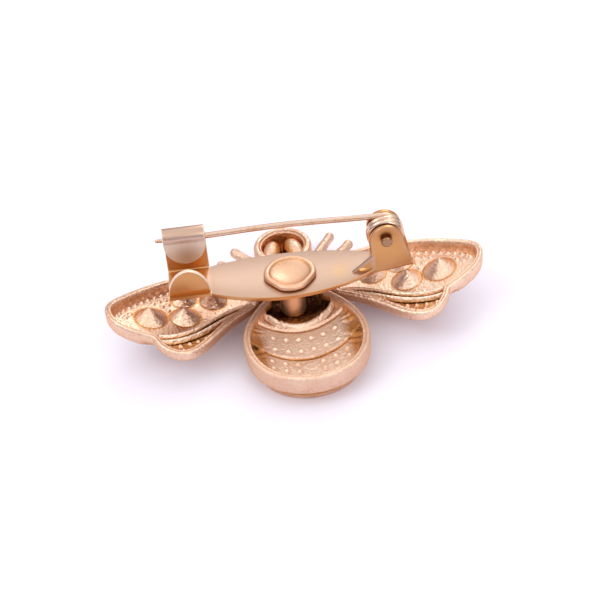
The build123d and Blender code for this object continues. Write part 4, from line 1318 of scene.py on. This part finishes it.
# The pin: one sprung wire, coiled between the ears round the hinge rivet, and a slightly bowed stem
# that passes under the catch's fold to a point. It is polished, and brighter than the rest.
WIRE_RADIUS = 0.4
WIRE_SIDES = 20
WIRE_COLOUR = (0.76, 0.57, 0.46, 1)
RIVET_COLOUR = (0.36, 0.21, 0.12, 1)
COIL_RADIUS = 2.1
COIL_TURNS = 2.36
COIL_PITCH = 0.79
COIL_POINTS, STEM_POINTS, TIP_POINTS = 190, 40, 24
CUT_END = (0.3, 0.85, 1.0)
STEM_CLIMB = math.radians(1.93)
STEM_START, STEM_START_Y = 0.3, 1.815
STEM_LENGTH = 30.31
STEM_AHEAD = np.array([-0.99815382, 0.05055522, -0.03366183])
STEM_BOW, BOW_END = 0.35, 27.0
TIP_LENGTH, TIP_SPACING = 2.6, 1.5
TIP_SHAPE = ([0, 0.05, 0.15, 0.3, TIP_LENGTH], [0.02, 0.12, 0.19, 0.24, WIRE_RADIUS])
FAR_FROM_TIP = 99
# The wire is painted darker along its underside: painted shade.
UNDER_TONE, UNDER_STEP = 0.45, (0.3, 0.9)
wind = np.linspace(STEM_CLIMB - 2 * math.pi * COIL_TURNS, STEM_CLIMB, COIL_POINTS)
coil = np.column_stack([
    pivot[0] - COIL_RADIUS * np.sin(wind),
    STEM_START_Y - COIL_PITCH * (STEM_CLIMB - wind) / (2 * math.pi),
    pivot[2] + COIL_RADIUS * np.cos(wind),
])
to_tip = STEM_LENGTH - TIP_LENGTH * np.linspace(1, 0, TIP_POINTS)[1:] ** TIP_SPACING
run = np.concatenate([np.linspace(STEM_START, STEM_LENGTH - TIP_LENGTH, STEM_POINTS), to_tip])
bow = STEM_BOW * np.sin(math.pi * np.minimum(run / BOW_END, 1)) ** 2
stem_path = np.concatenate([coil, coil[-1] + run[:, None] * STEM_AHEAD + bow[:, None] * (0, 0, 1)])
to_end = np.concatenate([np.linspace(FAR_FROM_TIP, STEM_LENGTH, COIL_POINTS), STEM_LENGTH - run])
thin = np.interp(to_end, *TIP_SHAPE)
thin[:len(CUT_END)] = WIRE_RADIUS * np.array(CUT_END)
facing_down = -np.sin(np.linspace(0, 2 * math.pi, WIRE_SIDES, endpoint=False))
wire_tone = UNDER_TONE * step_between(facing_down, *UNDER_STEP)
wire = turned_bar(tube(stem_path, thin, (0, 1, 0), WIRE_SIDES))
wire_metal = plated_metal("polished_wire", WIRE_COLOUR, grain_height=0.006, roughness=0.2)
pin_mesh = sheet_mesh("pin", [(wire, wire_tone, True)])
make_object("pin", pin_mesh, [wire_metal], "pin", ["pin_stem"])


def give_finish(node, finish):
    """Gives one of the CAD's own bodies a material."""
    node.data.materials.clear()
    node.data.materials.append(finish.material)


# The hinge rivet is given a dark brown colour.
rivet_metal = plated_metal("dark_rivet", RIVET_COLOUR, grain_height=0.02, roughness=0.24)
give_finish(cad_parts["hinge_rivet"], rivet_metal)

# The stones: cut glass, clear with a faint lilac tint, table outwards. The large ones are glued in
# their cups one by one.
CLEAR_GLASS = (0.93, 0.91, 1.0, 1)
LILAC_GLASS = (0.80, 0.78, 0.93, 1)
GLASS_HAZE, HAZE_ROUGH, GLASS_ROUGH = (700.0, 2.0), 0.05, 0.02
crystal = Finish("cut_crystal")
haze = crystal.noise(*GLASS_HAZE, Vector=crystal.node("TexCoord").outputs["Object"])
crystal.set(
    Base_Color=blend_colours(crystal, haze, CLEAR_GLASS, LILAC_GLASS),
    Roughness=haze * HAZE_ROUGH + GLASS_ROUGH,
    IOR=1.55,
    Transmission_Weight=0.3,
    Metallic=0.7,
)
for name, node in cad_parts.items():
    if "stone" in name:
        give_finish(node, crystal)

# The small stones: fields of cut glass on the fronts of the wings and the abdomen, each stone held
# in a low raised collar. A field is one body: a thin plate on the front, with collars and stones
# fused to it.
SETTING = [
    # radius as a share of the stone's, height over the plate in millimetres, cut stone or collar
    (0.0, -0.12, False),
    (1.28, -0.12, False),
    (1.28, 0.0, False),
    (1.22, 0.06, False),
    (1.08, 0.07, False),
    (1.02, 0.03, True),
    (0.86, 0.085, True),
    (0.56, 0.13, True),
    (0.0, 0.13, True),
]
SETTING_SIDES = 16
WING_STONE = 0.38
BODY_STONE = 0.48
PLATE_INSIDE = 0.05
PLATE_OUTSIDE = 0.03
WING_PLATE_INSET, WING_PLATE_ACROSS = 1.0, 60
BODY_PLATE_INSET, BODY_PLATE_ACROSS = 2.5, 20
STONE_TONE = 4.0
HOLE_MARGIN, HOLE_DEPTH, HOLE_STEPS = 0.15, 1.0, 40


def set_stones(places, radius):
    """Sheets of round collars and stones of eight sides; a place is a centre and three directions."""
    spin = np.linspace(0, 2 * math.pi, SETTING_SIDES, endpoint=False)
    octagon = math.cos(math.pi / 8) / np.cos((spin + math.pi / 8) % (math.pi / 4) - math.pi / 8)
    tones = np.array([STONE_TONE if cut else FIELD_TONE for _, _, cut in SETTING])[:, None]
    sheets = []
    for centre, sideways, along, outwards in places:
        circle = np.cos(spin)[:, None] * sideways + np.sin(spin)[:, None] * along
        rings = [
            centre + share * radius * (octagon[:, None] if cut else 1) * circle + height * outwards
            for share, height, cut in SETTING
        ]
        sheets.append((np.array(rings), tones, True))
    return sheets


def plate_sheets(edge, front, count):
    """A thin closed plate within a line; front gives points at a height over the piece's front."""
    x, y = np.moveaxis(across(edge, count), -1, 0)
    heights = (-PLATE_INSIDE, PLATE_OUTSIDE)
    band = np.array([front(*edge.T, height) for height in heights])
    return [(front(x, y, height), FIELD_TONE, False) for height in heights] + [(band, FIELD_TONE, True)]


def fused_field(name, node, *sheet_groups):
    """One body from the plate and the set stones, less the holes for the large stones if any."""
    parts = []
    for sheets in sheet_groups:
        mesh = sheet_mesh(name, sheets)
        tones = np.empty(len(mesh.vertices), np.float32)
        mesh.attributes["tone"].data.foreach_get("value", tones)
        for face in mesh.polygons:
            of_stone = tones[list(face.vertices)].min() > STONE_TONE - 1
            face.material_index = int(of_stone)
            face.use_smooth = not of_stone
        mesh.attributes["tone"].data.foreach_set("value", np.minimum(tones, FIELD_TONE))
        parts.append(make_object(name, mesh, [cast_metal, crystal]))
    for tool, operation in zip(parts[1:], ("UNION", "DIFFERENCE")):
        joined = parts[0].modifiers.new(operation.lower(), "BOOLEAN")
        joined.object = tool
        joined.operation = operation
        joined.solver = "EXACT"
    whole = bpy.data.meshes.new_from_object(parts[0].evaluated_get(bpy.context.evaluated_depsgraph_get()))
    for part in parts:
        bpy.data.objects.remove(part)
    make_object(name, whole, [], "brooch", [node])


def over_wing(x, y, height):
    """Points at a height over the wing's front, outwards."""
    return lifted(x, y, wing_front(x, y) + height)


def over_body(x, y, height):
    """Points at a height over the body's front, which faces down."""
    return body_panel(x, y, PANEL_RISE - height)


def wing_place(x, y):
    """A place on the wing's plate: centre, two directions across, one outwards."""
    sideways, outwards = wing_axes(x, float(wing_front(x, y)) + PLATE_OUTSIDE)
    return over_wing(x, y, PLATE_OUTSIDE), sideways, np.array([0, 1.0, 0]), outwards


wing_edge = inset(wing_outline, WING_PLATE_INSET)
wing_groups = [
    plate_sheets(wing_edge, over_wing, WING_PLATE_ACROSS),
    set_stones([wing_place(x, y) for x, y in wing_spots], WING_STONE),
    [],
]
for cup_x, cup_y, radius in cups:
    seat = radius - CUP_WALL + HOLE_MARGIN
    hole = [(0, -HOLE_DEPTH), (seat, -HOLE_DEPTH), (seat, HOLE_DEPTH), (0, HOLE_DEPTH)]
    wing_groups[2].append(turned_round(hole, cup_x, cup_y, HOLE_STEPS))
for side, sign in (("right", 1), ("left", -1)):
    flipped = [mirrored(group, sign) for group in wing_groups]
    fused_field(f"{side}_wing_field", f"{side}_wing_stones", *flipped)

body_edge = inset(body_outline, BODY_PLATE_INSET)
body_plate = plate_sheets(body_edge, over_body, BODY_PLATE_ACROSS)
body_places = [(over_body(x, y, PLATE_OUTSIDE), *np.diag([1.0, 1.0, -1.0])) for x, y in body_spots]
fused_field("abdomen_field", "abdomen_stones", body_plate, set_stones(body_places, BODY_STONE))
